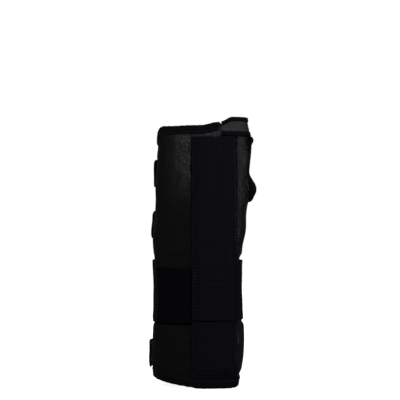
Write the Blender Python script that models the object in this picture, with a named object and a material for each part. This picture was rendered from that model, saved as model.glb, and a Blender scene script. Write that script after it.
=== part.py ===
"""Right-hand wrist splint: a laminate sleeve stiffened by a palmar and two dorsal stays.

The splint stands upright on its forearm hem. +Z runs up the arm to the fingers, -Y is the
palmar side and +X the thumb side. All sizes are in metres.

The sleeve is one smooth tube. A place on it is a girth, the share of the way round from the
palmar ridge towards the thumb, a height z and a depth, the distance outwards from the sleeve's
outer face. Every cloth layer is a slab between two depths, so layers stack with a small gap.
"""

import functools
import math

import bmesh
import bpy
import numpy as np

# Driving sizes; the sleeve's places count from a point moved by MIDDLE to the middle of the whole
MIDDLE = (0.001587, -0.001170)
TOP_Z = 0.2615
PALMAR_ARC_R = 1.20
PALMAR_ARC_Z = 0.10
PALMAR_FACE_Y = -0.042
DORSAL_Y_AT_HEM = 0.040
DORSAL_Y_AT_TOP = 0.016
PALMAR_RIDGE_X = 0.014
DORSAL_RIDGE_X = -0.004
PALMAR_SQUARENESS = 3.0
DORSAL_SQUARENESS = 2.3
ULNAR_SIDE = [(0.0, -0.0455), (0.030, -0.0475), (0.060, -0.0462), (0.095, -0.0448), (0.130, -0.0462),
              (0.185, -0.0440), (0.270, -0.0415)]
RADIAL_SIDE = [(0.0, 0.0378), (0.035, 0.0425), (0.060, 0.0420), (0.095, 0.0395), (0.130, 0.0398),
               (0.165, 0.0440), (0.200, 0.0465), (0.238, 0.0492), (0.270, 0.0440)]
# Height of the finger edge at a girth: notched corner, level palm, a rise under the web strap, low back
TOP_EDGE = [(0.320, 0.2510), (0.685, 0.2510), (0.765, 0.2610), (0.945, 0.2620), (1.020, 0.2650),
            (1.060, 0.2580), (1.220, 0.2575), (1.320, 0.2510)]

WALL = 0.0025
GAP = 0.0004
WEBBING = 0.0014
HOOK = 0.0007
BINDING = 0.0008
BINDING_GAP = 0.0006
BINDING_LEG = 0.0090
HEM_LEG = 0.0100
HEM_LIFT = 0.0090
SLACK = 0.0004

# Palmar stay pocket and stay
POCKET_X = (-0.0080, 0.0360)
POCKET_TOP_Z = 0.2500
COVER = 0.0011
STAY_X = 0.0107
STAY_HALF_WIDTH = 0.0095
STAY_THICKNESS = 0.0018
STAY_OFFSET = 0.0016
STAY_Z = (0.022, 0.246)

# Dorsal opening, stays and pockets
OPENING_X = (-0.016, -0.003)
DORSAL_STAY_X = {"ulnar": -0.0268, "radial": 0.0098}
DORSAL_STAY_HALF_WIDTH = 0.0055
DORSAL_STAY_THICKNESS = 0.0012
DORSAL_POCKET_Z = (0.028, 0.232)
DORSAL_POCKET_HALF_WIDTH = 0.0078
DORSAL_STAY_DEPTH = 0.0020
DORSAL_POCKET_TOP = 0.0044
TONGUE = 0.0012
TONGUE_X, TONGUE_Z = (0.012, -0.031), (0.0125, 0.2405)

# Wide elastic forearm strap
STRAP_Z = (0.0680, 0.1270)
STRAP_TAB_Z = (0.0655, 0.1205)
STRAP_ROOT = 0.700

# Closure straps across the dorsal opening: lower edge, and the girth where the free end lands
CLOSURE_STRAPS = {"hand": (0.200, 0.668), "wrist": (0.148, 0.676), "forearm": (0.018, 0.722)}
CLOSURE_WIDTH = 0.028
CLOSURE_ROOT_X = 0.0200

# Thumb opening
THUMB_Y, THUMB_Z = -0.0050, 0.2185
THUMB_HALF_Y, THUMB_HALF_Z = 0.0170, 0.0290
THUMB_RIM = (0.0022, 0.0042)

# Thumb web strap
WEB_ROOT_X, WEB_END_X = 0.021, 0.020
WEB_COLUMNS = 24
WEB_Z = (0.2520, 0.2685)
WEB_ROOT_DROP = 0.0045
WEB_END_Z = (0.2300, 0.2465)
WEB_THICKNESS = 0.0020
WEB_LEG = 0.0045

MATERIALS = {
    "laminate": ((0.030, 0.030, 0.031), 0.42, 0.0),
    "ribbed_elastic": ((0.012, 0.011, 0.015), 0.85, 0.0),
    "binding": ((0.006, 0.005, 0.008), 0.80, 0.0),
    "knit": ((0.010, 0.010, 0.012), 0.90, 0.0),
    "loop": ((0.008, 0.008, 0.010), 0.95, 0.0),
    "hook": ((0.020, 0.020, 0.021), 0.50, 0.0),
    "webbing": ((0.010, 0.010, 0.012), 0.75, 0.0),
    "aluminium": ((0.72, 0.73, 0.74), 0.35, 1.0),
    "stay_plastic": ((0.75, 0.75, 0.73), 0.45, 0.0),
}


def finish(name):
    """The named finish as a Principled material, made once."""
    material = bpy.data.materials.get(name)
    if material is None:
        colour, roughness, metallic = MATERIALS[name]
        material = bpy.data.materials.new(name)
        material.use_nodes = True
        shader = material.node_tree.nodes["Principled BSDF"]
        shader.inputs["Base Color"].default_value = (*colour, 1.0)
        shader.inputs["Roughness"].default_value = roughness
        shader.inputs["Metallic"].default_value = metallic
    return material


def add_object(name, mesh, material):
    """Shade a mesh smooth except at its edges and link it as a named sub-part."""
    mesh.shade_smooth()
    mesh.set_sharp_from_angle(angle=math.radians(35))
    obj = bpy.data.objects.new(name, mesh)
    if material:
        mesh.materials.append(finish(material))
    bpy.context.collection.objects.link(obj)
    obj.parent = bpy.data.objects["splint_frame"]
    return obj


# The sleeve's shape


def smooth_step(x):
    """0 below 0, 1 above 1, and an eased slope between."""
    x = np.clip(x, 0.0, 1.0)
    return x * x * (3.0 - 2.0 * x)


def through(points, z):
    """The smooth curve through (z, value) points, with slopes from each point's neighbours."""
    zs, values = np.array(points).T
    slopes = np.gradient(values, zs)
    i = int(np.clip(np.searchsorted(zs, z) - 1, 0, len(zs) - 2))
    span = zs[i + 1] - zs[i]
    t = float(np.clip((z - zs[i]) / span, 0.0, 1.0))
    return ((1 + 2 * t) * (1 - t) ** 2 * values[i] + t * (1 - t) ** 2 * span * slopes[i]
            + t * t * (3 - 2 * t) * values[i + 1] + t * t * (t - 1) * span * slopes[i + 1])


def arc_y(z, offset=0.0):
    """The palmar face's y at a height: an arc about the stay's centre, moved out by offset."""
    centre = PALMAR_FACE_Y + PALMAR_ARC_R
    return centre - math.sqrt((PALMAR_ARC_R + offset) ** 2 - (z - PALMAR_ARC_Z) ** 2)


def dorsal_y(z):
    """The dorsal ridge's y: a straight line from hem to top."""
    return DORSAL_Y_AT_HEM + (DORSAL_Y_AT_TOP - DORSAL_Y_AT_HEM) * z / TOP_Z


@functools.lru_cache(maxsize=None)
def outline(z):
    """The outer section at a height as (share, x, y) rows, from the palmar ridge towards +X.

    Four quarters of superellipses join the palmar ridge, the thumb side, the dorsal ridge and
    the little-finger side, where each meets the next with the same tangent.
    """
    palmar, dorsal = (PALMAR_RIDGE_X, arc_y(z)), (DORSAL_RIDGE_X, dorsal_y(z))
    middle = (palmar[1] + dorsal[1]) / 2
    radial, ulnar = (through(RADIAL_SIDE, z), middle), (through(ULNAR_SIDE, z), middle)
    turn = np.linspace(0.0, math.pi / 2, 60)[:-1]
    points = []
    for ridge, side, power, from_ridge in (
        (palmar, radial, PALMAR_SQUARENESS, True),
        (dorsal, radial, DORSAL_SQUARENESS, False),
        (dorsal, ulnar, DORSAL_SQUARENESS, True),
        (palmar, ulnar, PALMAR_SQUARENESS, False),
    ):
        t = turn if from_ridge else math.pi / 2 - turn
        across, along = np.sin(t) ** (2 / power), np.cos(t) ** (2 / power)
        points.append(np.stack([ridge[0] + (side[0] - ridge[0]) * across,
                                side[1] + (ridge[1] - side[1]) * along], axis=1))
    points = np.concatenate(points)
    points = np.concatenate([points, points[:1]])
    share = np.concatenate([[0.0], np.cumsum(np.hypot(*np.diff(points, axis=0).T))])
    return share / share[-1], points[:, 0], points[:, 1]


def wall(girth, z, depth=0.0):
    """The point on the sleeve at a girth and height, moved outwards in its section by depth."""
    share, xs, ys = outline(z)
    at = np.array([girth - 0.004, girth, girth + 0.004]) % 1.0
    x, y = np.interp(at, share, xs), np.interp(at, share, ys)
    tangent = np.array([x[2] - x[0], y[2] - y[0]])
    tangent /= np.hypot(*tangent)
    return np.array([x[1] + tangent[1] * depth, y[1] - tangent[0] * depth, z]), tangent


def palmar(x, z):
    """The girth at which the palmar face has this x: over 1 on the little-finger side."""
    share, xs, _ = outline(z)
    quarter = len(xs) // 4
    if x >= PALMAR_RIDGE_X:
        return float(np.interp(x, xs[:quarter], share[:quarter]))
    return float(np.interp(x, xs[-quarter:], share[-quarter:])) - 1.0


def dorsal(x, z):
    """The girth at which the dorsal face has this x."""
    share, xs, _ = outline(z)
    quarter = len(xs) // 4
    face = slice(quarter + 1, 3 * quarter)
    return float(np.interp(-x, -xs[face], share[face]))


def hem_z(girth):
    """Height of the hem: flat on the floor, and lifted below the little finger's palmar side."""
    girth = girth % 1.0
    lift = smooth_step((girth - 0.56) / 0.11) * np.clip((0.94 - girth) / 0.20, 0.0, 1.0)
    return HEM_LIFT * float(lift)


def top_z(girth):
    """Height of the finger edge: eased from each point of TOP_EDGE to the next."""
    girths, heights = np.array(TOP_EDGE).T
    girth = (girth - girths[0]) % 1.0 + girths[0]
    i = int(np.clip(np.searchsorted(girths, girth) - 1, 0, len(girths) - 2))
    share = float(smooth_step((girth - girths[i]) / (girths[i + 1] - girths[i])))
    return float(heights[i] + (heights[i + 1] - heights[i]) * share)


# Mesh builders


def mesh_from(name, points, faces):
    """A mesh from points and faces, with its faces turned outwards."""
    mesh = bpy.data.meshes.new(name)
    mesh.from_pydata([tuple(p) for p in points], [], faces)
    build = bmesh.new()
    build.from_mesh(mesh)
    bmesh.ops.recalc_face_normals(build, faces=build.faces)
    bmesh.ops.triangulate(build, faces=build.faces)
    build.to_mesh(mesh)
    build.free()
    return mesh


def swept(name, rings, material, closed=False):
    """A solid swept through rings of points: capped at both ends, or joined into a loop."""
    count = len(rings[0])
    points = [p for ring in rings for p in ring]
    faces = []
    last = len(rings) if closed else len(rings) - 1
    for i in range(last):
        here, there = i * count, (i + 1) % len(rings) * count
        for j in range(count):
            k = (j + 1) % count
            faces.append((here + j, here + k, there + k, there + j))
    if not closed:
        faces += [tuple(range(count)), tuple((len(rings) - 1) * count + j for j in range(count))]
    return add_object(name, mesh_from(name, points, faces), material)


def height_on(girths, column, edge, start):
    """Height at which a column meets a sloping edge."""
    z = start
    for _ in range(6):
        z = edge(girths(z)[column])
    return z


def slab(name, girths, low, high, rows, inner, thickness, material):
    """A cloth layer with columns at girths(z), from low(girth) to high(girth).

    inner(point, z) is the depth of its inner face, or a number for an even layer.
    """
    depth = inner if callable(inner) else lambda point, z: inner
    columns = len(girths(0.13))
    faces_in, faces_out = [], []
    for j in range(columns):
        bottom, top = height_on(girths, j, low, 0.0), height_on(girths, j, high, 0.25)
        for i in range(rows + 1):
            z = bottom + (top - bottom) * i / rows
            girth = girths(z)[j]
            base = depth(wall(girth, z)[0], z)
            faces_in.append(wall(girth, z, base)[0])
            faces_out.append(wall(girth, z, base + thickness)[0])
    step, total = rows + 1, columns * (rows + 1)
    faces = []
    for j in range(columns - 1):
        for i in range(rows):
            a, b, c, d = j * step + i, (j + 1) * step + i, (j + 1) * step + i + 1, j * step + i + 1
            faces += [(a, b, c, d), (total + d, total + c, total + b, total + a)]
    rim = [j * step for j in range(columns)]
    rim += [(columns - 1) * step + i for i in range(1, step)]
    rim += [j * step + rows for j in range(columns - 2, -1, -1)]
    rim += [i for i in range(rows - 1, 0, -1)]
    for a, b in zip(rim, rim[1:] + rim[:1]):
        faces.append((b, a, total + a, total + b))
    return add_object(name, mesh_from(name, faces_in + faces_out, faces), material)


def folded_tape(leg, inside=WALL):
    """A binding's section as (depth, distance in from the edge): a tape folded over the wall."""
    near, far = BINDING_GAP, -inside - BINDING_GAP
    out, back = near + BINDING, far - BINDING
    return [(out, 0.0), (out, leg), (near, leg), (near, BINDING),
            (far, BINDING), (far, leg), (back, leg), (back, 0.0)]


def edge_binding(name, girths, edge, side, leg):
    """Tape folded over a level edge; side is -1 on a top edge and +1 on a hem."""
    rings = []
    for girth in girths:
        z = edge(girth)
        rings.append([wall(girth, z + side * inward, depth)[0] for depth, inward in folded_tape(leg)])
    return swept(name, rings, "binding")


def face_span(face, xs):
    """Girths at fixed x places on the palmar or the dorsal face."""
    return lambda z: np.array([face(x, z) for x in xs])


def level(z):
    """The same height at every girth."""
    return lambda girth: z


# Sleeve panels


def hem_inside(girth):
    """Lower edge of the panels, inside the hem's binding."""
    return hem_z(girth) + BINDING + SLACK


def top_inside(girth):
    """Upper edge of the panels, inside the finger edge's binding."""
    return top_z(girth) - BINDING - SLACK


def make_panels():
    """The laminate wall in three panels, seamed along the sides of the palmar pocket."""
    def ulnar(z):
        return np.linspace(dorsal(OPENING_X[0], z) + 0.004, 1.0 + palmar(POCKET_X[0] - 0.0004, z), 29)

    def radial(z):
        return np.linspace(palmar(POCKET_X[1] + 0.0004, z), dorsal(OPENING_X[1], z) - 0.004, 28)

    def middle(z):
        return np.linspace(palmar(POCKET_X[0], z), palmar(POCKET_X[1], z), 13)

    slab("ulnar_panel", ulnar, hem_inside, top_inside, 14, -WALL, WALL, "laminate")
    slab("palmar_panel", middle, hem_inside, top_inside, 14, -WALL, WALL, "laminate")
    panel = slab("radial_panel", radial, hem_inside, top_inside, 14, -WALL, WALL, "laminate")
    cut = panel.modifiers.new("thumb_opening", "BOOLEAN")
    cut.operation, cut.solver, cut.object = "DIFFERENCE", "EXACT", thumb_cutter()


def thumb_ring(turn):
    """The thumb rim's centre and radius at a turn round the opening."""
    y = THUMB_Y + THUMB_HALF_Y * math.cos(turn)
    z = THUMB_Z + THUMB_HALF_Z * math.sin(turn)
    down = -math.sin(turn)
    low = float(smooth_step((down - 0.1) / 0.6))
    flare = 0.0056 * low - 0.0024 * float(smooth_step((down - 0.75) / 0.25))
    flare += 0.0028 * float(smooth_step((-down - 0.75) / 0.25))
    radius = THUMB_RIM[0] + (THUMB_RIM[1] - THUMB_RIM[0]) * low
    share, xs, ys = outline(round(z, 6))
    half = slice(0, len(xs) // 2)
    right = xs[half] > 0.02
    x = float(np.interp(y, ys[half][right], xs[half][right]))
    return np.array([x - WALL / 2 + flare, y, z]), radius


def thumb_directions(turn):
    """Outward direction of the opening's outline in its YZ plane."""
    out = np.array([0.0, math.cos(turn) / THUMB_HALF_Y, math.sin(turn) / THUMB_HALF_Z])
    return out / np.linalg.norm(out)


def thumb_cutter():
    """A prism along X that clears the radial panel for the thumb rim."""
    rings = [[], []]
    for k in range(32):
        turn = 2 * math.pi * k / 32
        centre, radius = thumb_ring(turn)
        edge = centre + thumb_directions(turn) * (radius + GAP)
        for ring, x in zip(rings, (0.022, 0.075)):
            ring.append(np.array([x, edge[1], edge[2]]))
    cutter = swept("thumb_cutter", rings, None)
    cutter.hide_render = True
    cutter.display_type = "WIRE"
    return cutter


def make_thumb_rim():
    """The rolled binding round the thumb opening, thickest below the thumb."""
    rings = []
    for k in range(32):
        turn = 2 * math.pi * k / 32
        centre, radius = thumb_ring(turn)
        out, side = thumb_directions(turn), np.array([1.0, 0.0, 0.0])
        rings.append([centre + radius * (math.cos(a) * out + math.sin(a) * side)
                      for a in np.linspace(0, 2 * math.pi, 9)[:-1]])
    swept("thumb_opening_binding", rings, "binding", closed=True)


def make_bindings():
    """Folded tapes over the finger edge, the hem and both edges of the dorsal opening."""
    ulnar_edge, radial_edge = dorsal(OPENING_X[0], 0.25), dorsal(OPENING_X[1], 0.25)
    edge_binding("distal_binding",
                 np.linspace(ulnar_edge + 0.001, 1.0 + palmar(WEB_ROOT_X - 0.003, 0.25), 56),
                 top_z, -1, BINDING_LEG)
    edge_binding("distal_binding_radial", np.linspace(dorsal(0.030, 0.25), radial_edge - 0.001, 10),
                 top_z, -1, BINDING_LEG)
    edge_binding("proximal_binding",
                 np.linspace(dorsal(OPENING_X[0], 0.0) + 0.001, 1.0 + dorsal(OPENING_X[1], 0.0) - 0.001, 66),
                 hem_z, 1, HEM_LEG)
    for name, x, side in (("ulnar", OPENING_X[0], 1), ("radial", OPENING_X[1], -1)):
        rings = []
        for z in np.linspace(HEM_LEG + SLACK, top_z(0.5) - BINDING_LEG - SLACK, 12):
            edge, around = dorsal(x, z), outline(z)
            girth_length = float(np.sum(np.hypot(np.diff(around[1]), np.diff(around[2]))))
            rings.append([wall(edge + side * (inward - 0.0001) / girth_length, z, depth)[0]
                          for depth, inward in folded_tape(0.0042)])
        swept(f"opening_binding_{name}", rings, "binding")


def make_tongue():
    """The stretch-knit tongue that closes the dorsal opening from inside."""
    depth = -(WALL + BINDING_GAP + BINDING + GAP + TONGUE)
    slab("dorsal_tongue", face_span(dorsal, np.linspace(*TONGUE_X, 9)), level(TONGUE_Z[0]), level(TONGUE_Z[1]),
         14, depth, TONGUE, "knit")


# Palmar stay and its pocket


def stay_profile(z):
    """Outer face of the palmar stay: the y it has at this height."""
    return arc_y(z, STAY_OFFSET + STAY_THICKNESS)


def pocket_depth(point, z):
    """Depth of the pocket cover's inner face: sewn flat at its sides and foot, over the stay between."""
    from_side = min(point[0] - POCKET_X[0], POCKET_X[1] - point[0])
    over = float(smooth_step((from_side - 0.0030) / 0.0056) * smooth_step((z - 0.0130) / 0.0060))
    clear = (point[1] - stay_profile(z)) * 1.05 + GAP
    return GAP + (max(clear, GAP) - GAP) * over


def pocket_span(z):
    """Columns across the pocket cover: closest at its two shoulders."""
    left = [palmar(x, z) for x in (POCKET_X[0] + 0.0002, -0.0050, -0.0030, -0.0010, 0.0008,
                                   0.0070, 0.0140, 0.0210, 0.0272)]
    return np.concatenate([left, np.linspace(left[-1], palmar(POCKET_X[1] - 0.0002, z), 6)[1:]])


def make_palmar_pocket():
    """The ribbed pocket cover down the palm, open at its finger end."""
    slab("palmar_stay_pocket", pocket_span, lambda girth: hem_z(girth) + HEM_LEG + SLACK,
         level(POCKET_TOP_Z), 20, pocket_depth, COVER, "ribbed_elastic")


def make_palmar_stay():
    """The bent aluminium bar: an arc about the joint's axis, with round ends and flat faces."""
    centre_y = PALMAR_FACE_Y + PALMAR_ARC_R
    start, end = (math.asin((z - PALMAR_ARC_Z) / PALMAR_ARC_R) for z in STAY_Z)
    length = (end - start) * PALMAR_ARC_R
    rings = []
    ends = STAY_HALF_WIDTH * (1 - np.cos(np.linspace(0, math.pi / 2, 6)))
    middle = np.linspace(ends[-1], length - ends[-1], 12)[1:-1]
    for s in np.concatenate([ends, middle, (length - ends)[::-1]]):
        to_end = min(s, length - s, STAY_HALF_WIDTH)
        half = max(math.sqrt(STAY_HALF_WIDTH ** 2 - (STAY_HALF_WIDTH - to_end) ** 2), 0.0015)
        turn = start + s / PALMAR_ARC_R
        ring = []
        for side, offset in ((-1, 0.0), (1, 0.0), (1, STAY_THICKNESS), (-1, STAY_THICKNESS)):
            r = PALMAR_ARC_R + STAY_OFFSET + offset
            ring.append(np.array([side * half, -r * math.cos(turn), r * math.sin(turn)]))
        rings.append(ring)
    stay = swept("palmar_stay", rings, "aluminium")
    stay.location = (STAY_X, centre_y, PALMAR_ARC_Z)


# Dorsal stays and pockets


def dorsal_line(x):
    """A dorsal stay's foot point, direction up the arm and outward direction, on the wall at x."""
    foot, _ = wall(dorsal(x, DORSAL_POCKET_Z[0]), DORSAL_POCKET_Z[0])
    head, _ = wall(dorsal(x, DORSAL_POCKET_Z[1]), DORSAL_POCKET_Z[1])
    up = (head - foot) / np.linalg.norm(head - foot)
    _, tangent = wall(dorsal(x, 0.13), 0.13)
    across = np.array([-tangent[0], -tangent[1], 0.0])
    out = np.cross(up, across)
    return foot, up, across, out / np.linalg.norm(out), float(np.linalg.norm(head - foot))


def make_dorsal_stay(side):
    """One flat dorsal stay and its sewn pocket, open at the finger end."""
    x = DORSAL_STAY_X[side]
    foot, up, across, out, length = dorsal_line(x)

    def ring(s, section):
        return [foot + up * s + across * w + out * d for w, d in section]

    w, t = DORSAL_POCKET_HALF_WIDTH, DORSAL_POCKET_TOP
    inner_w, roof = DORSAL_STAY_HALF_WIDTH + GAP, DORSAL_STAY_DEPTH + DORSAL_STAY_THICKNESS + GAP
    base = 0.0011
    closed = [(-w, base), (w, base), (w, t), (-w, t)]
    block = swept(f"dorsal_pocket_{side}", [ring(0.0, closed), ring(length, closed)], "ribbed_elastic")
    channel = [(-inner_w, base - 0.002), (inner_w, base - 0.002), (inner_w, roof), (-inner_w, roof)]
    cutter = swept(f"dorsal_pocket_cutter_{side}", [ring(0.004, channel), ring(length + 0.01, channel)],
                   None)
    cutter.hide_render = True
    cutter.display_type = "WIRE"
    cut = block.modifiers.new("channel", "BOOLEAN")
    cut.operation, cut.solver, cut.object = "DIFFERENCE", "EXACT", cutter

    half, low, high = DORSAL_STAY_HALF_WIDTH, DORSAL_STAY_DEPTH, DORSAL_STAY_DEPTH + DORSAL_STAY_THICKNESS
    rings = []
    stay_length = length - 0.0115
    ends = half * (1 - np.cos(np.linspace(0, math.pi / 2, 5)))
    for s in np.concatenate([ends, (stay_length - ends)[::-1]]):
        to_end = min(s, stay_length - s, half)
        width = max(math.sqrt(half ** 2 - (half - to_end) ** 2), 0.001)
        rings.append(ring(0.0045 + s, [(-width, low), (width, low), (width, high), (-width, high)]))
    swept(f"dorsal_stay_{side}", rings, "stay_plastic")


# Forearm strap


def on_back(point, z):
    """Whether a point lies on the dorsal half of its section."""
    return point[1] > (arc_y(z) + dorsal_y(z)) / 2


def palmar_relief(point, z):
    """How far the pocket stands out from the wall at a palmar point."""
    if on_back(point, z):
        return 0.0
    if not POCKET_X[0] - 0.004 < point[0] < POCKET_X[1] + 0.006:
        return 0.0
    inside = min(point[0] - POCKET_X[0] + 0.004, POCKET_X[1] + 0.006 - point[0]) / 0.004
    return (pocket_depth(point, z) + COVER) * float(smooth_step(inside))


def dorsal_relief(point, z):
    """How far the dorsal pockets stand out, bridged between them."""
    if not on_back(point, z):
        return 0.0
    centre = (DORSAL_STAY_X["ulnar"] + DORSAL_STAY_X["radial"]) / 2
    reach = abs(point[0] - centre) - (DORSAL_STAY_X["radial"] - centre + DORSAL_POCKET_HALF_WIDTH)
    return (DORSAL_POCKET_TOP + 0.0020) * float(1.0 - smooth_step((reach - 0.0035) / 0.008))


def strap_depth(point, z):
    """Inner depth of the wide strap over the wall and whatever stands out from it."""
    return GAP + max(palmar_relief(point, z), dorsal_relief(point, z))


def tab_depth(point, z):
    """Inner depth of the strap's free end: it climbs from its root onto its hook patch."""
    if on_back(point, z):
        return GAP
    root_x = wall(STRAP_ROOT, z)[0][0]
    return GAP + (2 * HOOK + 2 * GAP) * float(smooth_step((point[0] - root_x - 0.0015) / 0.0060))


def make_forearm_strap():
    """The wide elastic strap, its free end, and the hook and loop that hold it."""
    def around(z):
        near = pocket_span(z)
        side = np.linspace(near[-1], dorsal(0.026, z), 12)[1:]
        back = np.array([dorsal(x, z) for x in (0.021, 0.0165, 0.010, 0.002, -0.006, -0.014, -0.022, -0.030,
                                                -0.0345)])
        rest = np.linspace(back[-1], STRAP_ROOT, 6)[1:]
        return np.concatenate([near, side, back, rest])

    slab("forearm_strap", around, level(STRAP_Z[0]), level(STRAP_Z[1]), 4, strap_depth, WEBBING,
         "ribbed_elastic")

    def tab(z):
        return np.linspace(STRAP_ROOT + 0.003, 1.0 + palmar(POCKET_X[0] - 0.0012, z), 16)

    slab("forearm_strap_tab", tab, level(STRAP_TAB_Z[0]), level(STRAP_TAB_Z[1]), 4, tab_depth, WEBBING,
         "webbing")
    for name, xs, depth, margin, material in (
        ("forearm_loop_patch", (-0.0370, -0.0100), GAP, 0.003, "loop"),
        ("forearm_hook_patch", (-0.0350, -0.0115), 2 * GAP + HOOK, 0.005, "hook"),
    ):
        slab(name, face_span(lambda x, z: palmar(x, z) + 1.0, np.linspace(*xs, 7)),
             level(STRAP_TAB_Z[0] + margin), level(STRAP_TAB_Z[1] - margin), 3, depth, HOOK, material)


# Closure straps and web strap


def closure_depth(point, z):
    """Inner depth of a closure strap: over the pockets, down to the wall at its root, on its hook."""
    landing = float(smooth_step((-0.0335 - point[0]) / 0.004))
    return GAP + max(dorsal_relief(point, z), (2 * HOOK + 2 * GAP) * landing)


def make_closure_straps():
    """Three short straps that close the dorsal opening, each with its hook and its loop patch."""
    for name, (low, end) in CLOSURE_STRAPS.items():
        high = low + CLOSURE_WIDTH

        def across(z):
            back = [dorsal(x, z) for x in (CLOSURE_ROOT_X, 0.0175, 0.0145, 0.009, 0.002, -0.006,
                                           -0.014, -0.022, -0.029, -0.033, -0.0355)]
            return np.concatenate([back, np.linspace(back[-1], end, 6)[1:]])

        slab(f"closure_strap_{name}", across, level(low), level(high), 3, closure_depth, WEBBING, "webbing")
        for kind, depth, inset in (("loop", GAP, 0.002), ("hook", 2 * GAP + HOOK, 0.003)):
            def patch(z, inset=inset):
                return np.linspace(dorsal(-0.0372 - inset * 0.3, z), end - inset * 0.8, 7)

            slab(f"closure_{kind}_patch_{name}", patch, level(low + inset), level(high - inset), 3,
                 depth, HOOK, kind)


def web_span(z):
    """Columns of the web strap: from its palmar root round the thumb side to its dorsal end."""
    return np.linspace(palmar(WEB_ROOT_X, z), dorsal(WEB_END_X, z), WEB_COLUMNS)


def web_share(girth):
    """0 over the palm and the side, rising to 1 at the dorsal end."""
    start, end = palmar(WEB_ROOT_X, 0.25), dorsal(WEB_END_X, 0.25)
    return float(smooth_step(((girth - start) / (end - start) - 0.70) / 0.28))


def web_low(girth):
    """Height of the web strap's lower edge."""
    return WEB_Z[0] + (WEB_END_Z[0] - WEB_Z[0]) * web_share(girth)


def web_high(girth):
    """Height of the web strap's upper edge, dropped a little at its palmar root."""
    rise = float(smooth_step((girth - palmar(WEB_ROOT_X, 0.25)) / 0.05))
    return WEB_Z[1] - WEB_ROOT_DROP * (1.0 - rise) + (WEB_END_Z[1] - WEB_Z[1]) * web_share(girth)


def web_depth(point, z):
    """Inner depth of the web strap: it clears the finger edge's binding and the hook below it."""
    climb = float(smooth_step((0.046 - point[0]) / 0.006)) if on_back(point, z) else 0.0
    return GAP + 0.0002 + (2 * HOOK + 2 * GAP) * climb


def make_web_strap():
    """The strap over the thumb web with bound edges, its hook and its loop patch."""
    slab("web_strap", web_span, web_low, web_high, 3, web_depth, WEB_THICKNESS, "laminate")
    out = WEB_THICKNESS + SLACK
    section = [(out + BINDING, 0.0), (out + BINDING, WEB_LEG), (out, WEB_LEG), (out, BINDING),
               (0.0, BINDING), (0.0, 0.0)]
    for name, edge, side in (("web_binding_top", web_high, -1), ("web_binding_low", web_low, 1)):
        rings = []
        for column in range(WEB_COLUMNS):
            tape_edge = height_on(web_span, column, edge, 0.25) - side * (BINDING + SLACK)
            ring = []
            for depth, inward in section:
                z = tape_edge + side * inward
                girth = web_span(z)[column]
                ring.append(wall(girth, z, depth + web_depth(wall(girth, z)[0], z))[0])
            rings.append(ring)
        swept(name, rings, "binding")
    for kind, depth, inset in (("loop", GAP, 0.0), ("hook", 2 * GAP + HOOK, 0.0005)):
        slab(f"web_{kind}_patch", face_span(dorsal, np.linspace(0.0305, 0.0210 + inset, 4)),
             level(0.2315 + inset), level(0.2405 - inset), 2, depth, HOOK, kind)


def main():
    for obj in list(bpy.data.objects):
        bpy.data.objects.remove(obj, do_unlink=True)
    splint_frame = bpy.data.objects.new("splint_frame", None)
    splint_frame.location = (-MIDDLE[0], -MIDDLE[1], 0.0)
    bpy.context.collection.objects.link(splint_frame)
    make_panels()
    make_thumb_rim()
    make_bindings()
    make_tongue()
    make_palmar_pocket()
    make_palmar_stay()
    make_dorsal_stay("ulnar")
    make_dorsal_stay("radial")
    make_forearm_strap()
    make_closure_straps()
    make_web_strap()


main()
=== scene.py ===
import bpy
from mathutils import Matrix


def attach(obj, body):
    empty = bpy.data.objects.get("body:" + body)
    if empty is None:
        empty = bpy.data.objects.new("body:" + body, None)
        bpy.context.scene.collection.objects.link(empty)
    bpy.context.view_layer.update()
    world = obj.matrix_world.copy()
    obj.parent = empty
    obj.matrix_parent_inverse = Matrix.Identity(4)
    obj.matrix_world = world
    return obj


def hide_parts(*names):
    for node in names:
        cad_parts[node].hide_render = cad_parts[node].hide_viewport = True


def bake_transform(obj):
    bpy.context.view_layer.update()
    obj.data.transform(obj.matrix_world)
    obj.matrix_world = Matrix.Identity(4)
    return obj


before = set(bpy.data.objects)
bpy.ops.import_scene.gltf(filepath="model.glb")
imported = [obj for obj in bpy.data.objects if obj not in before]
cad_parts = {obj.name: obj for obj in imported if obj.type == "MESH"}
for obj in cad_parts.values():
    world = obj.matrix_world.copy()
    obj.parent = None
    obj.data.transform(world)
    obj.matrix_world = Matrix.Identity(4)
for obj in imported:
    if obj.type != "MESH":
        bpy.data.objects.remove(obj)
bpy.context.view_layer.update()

"""Wrist splint: laminate sleeve, palmar and dorsal stays, straps and bindings, as pieces over the frame.

A place on the sleeve is a girth (share of the way round from the palmar ridge towards the thumb),
a height z and a depth outwards from the sleeve's outer face. Every cloth piece is a function of
two parameters on that surface. Sizes are in metres.
"""

import math

import bpy
import numpy as np
from bpy.props import FloatProperty, FloatVectorProperty, PointerProperty

bl_info = {
    "name": "Wrist splint",
    "version": (1, 0, 0),
    "blender": (4, 5, 0),
    "location": "3D View > Sidebar > Splint",
    "description": "Builds the sewn pieces, finishes and stage of a wrist splint",
    "category": "Add Mesh",
}

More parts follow.
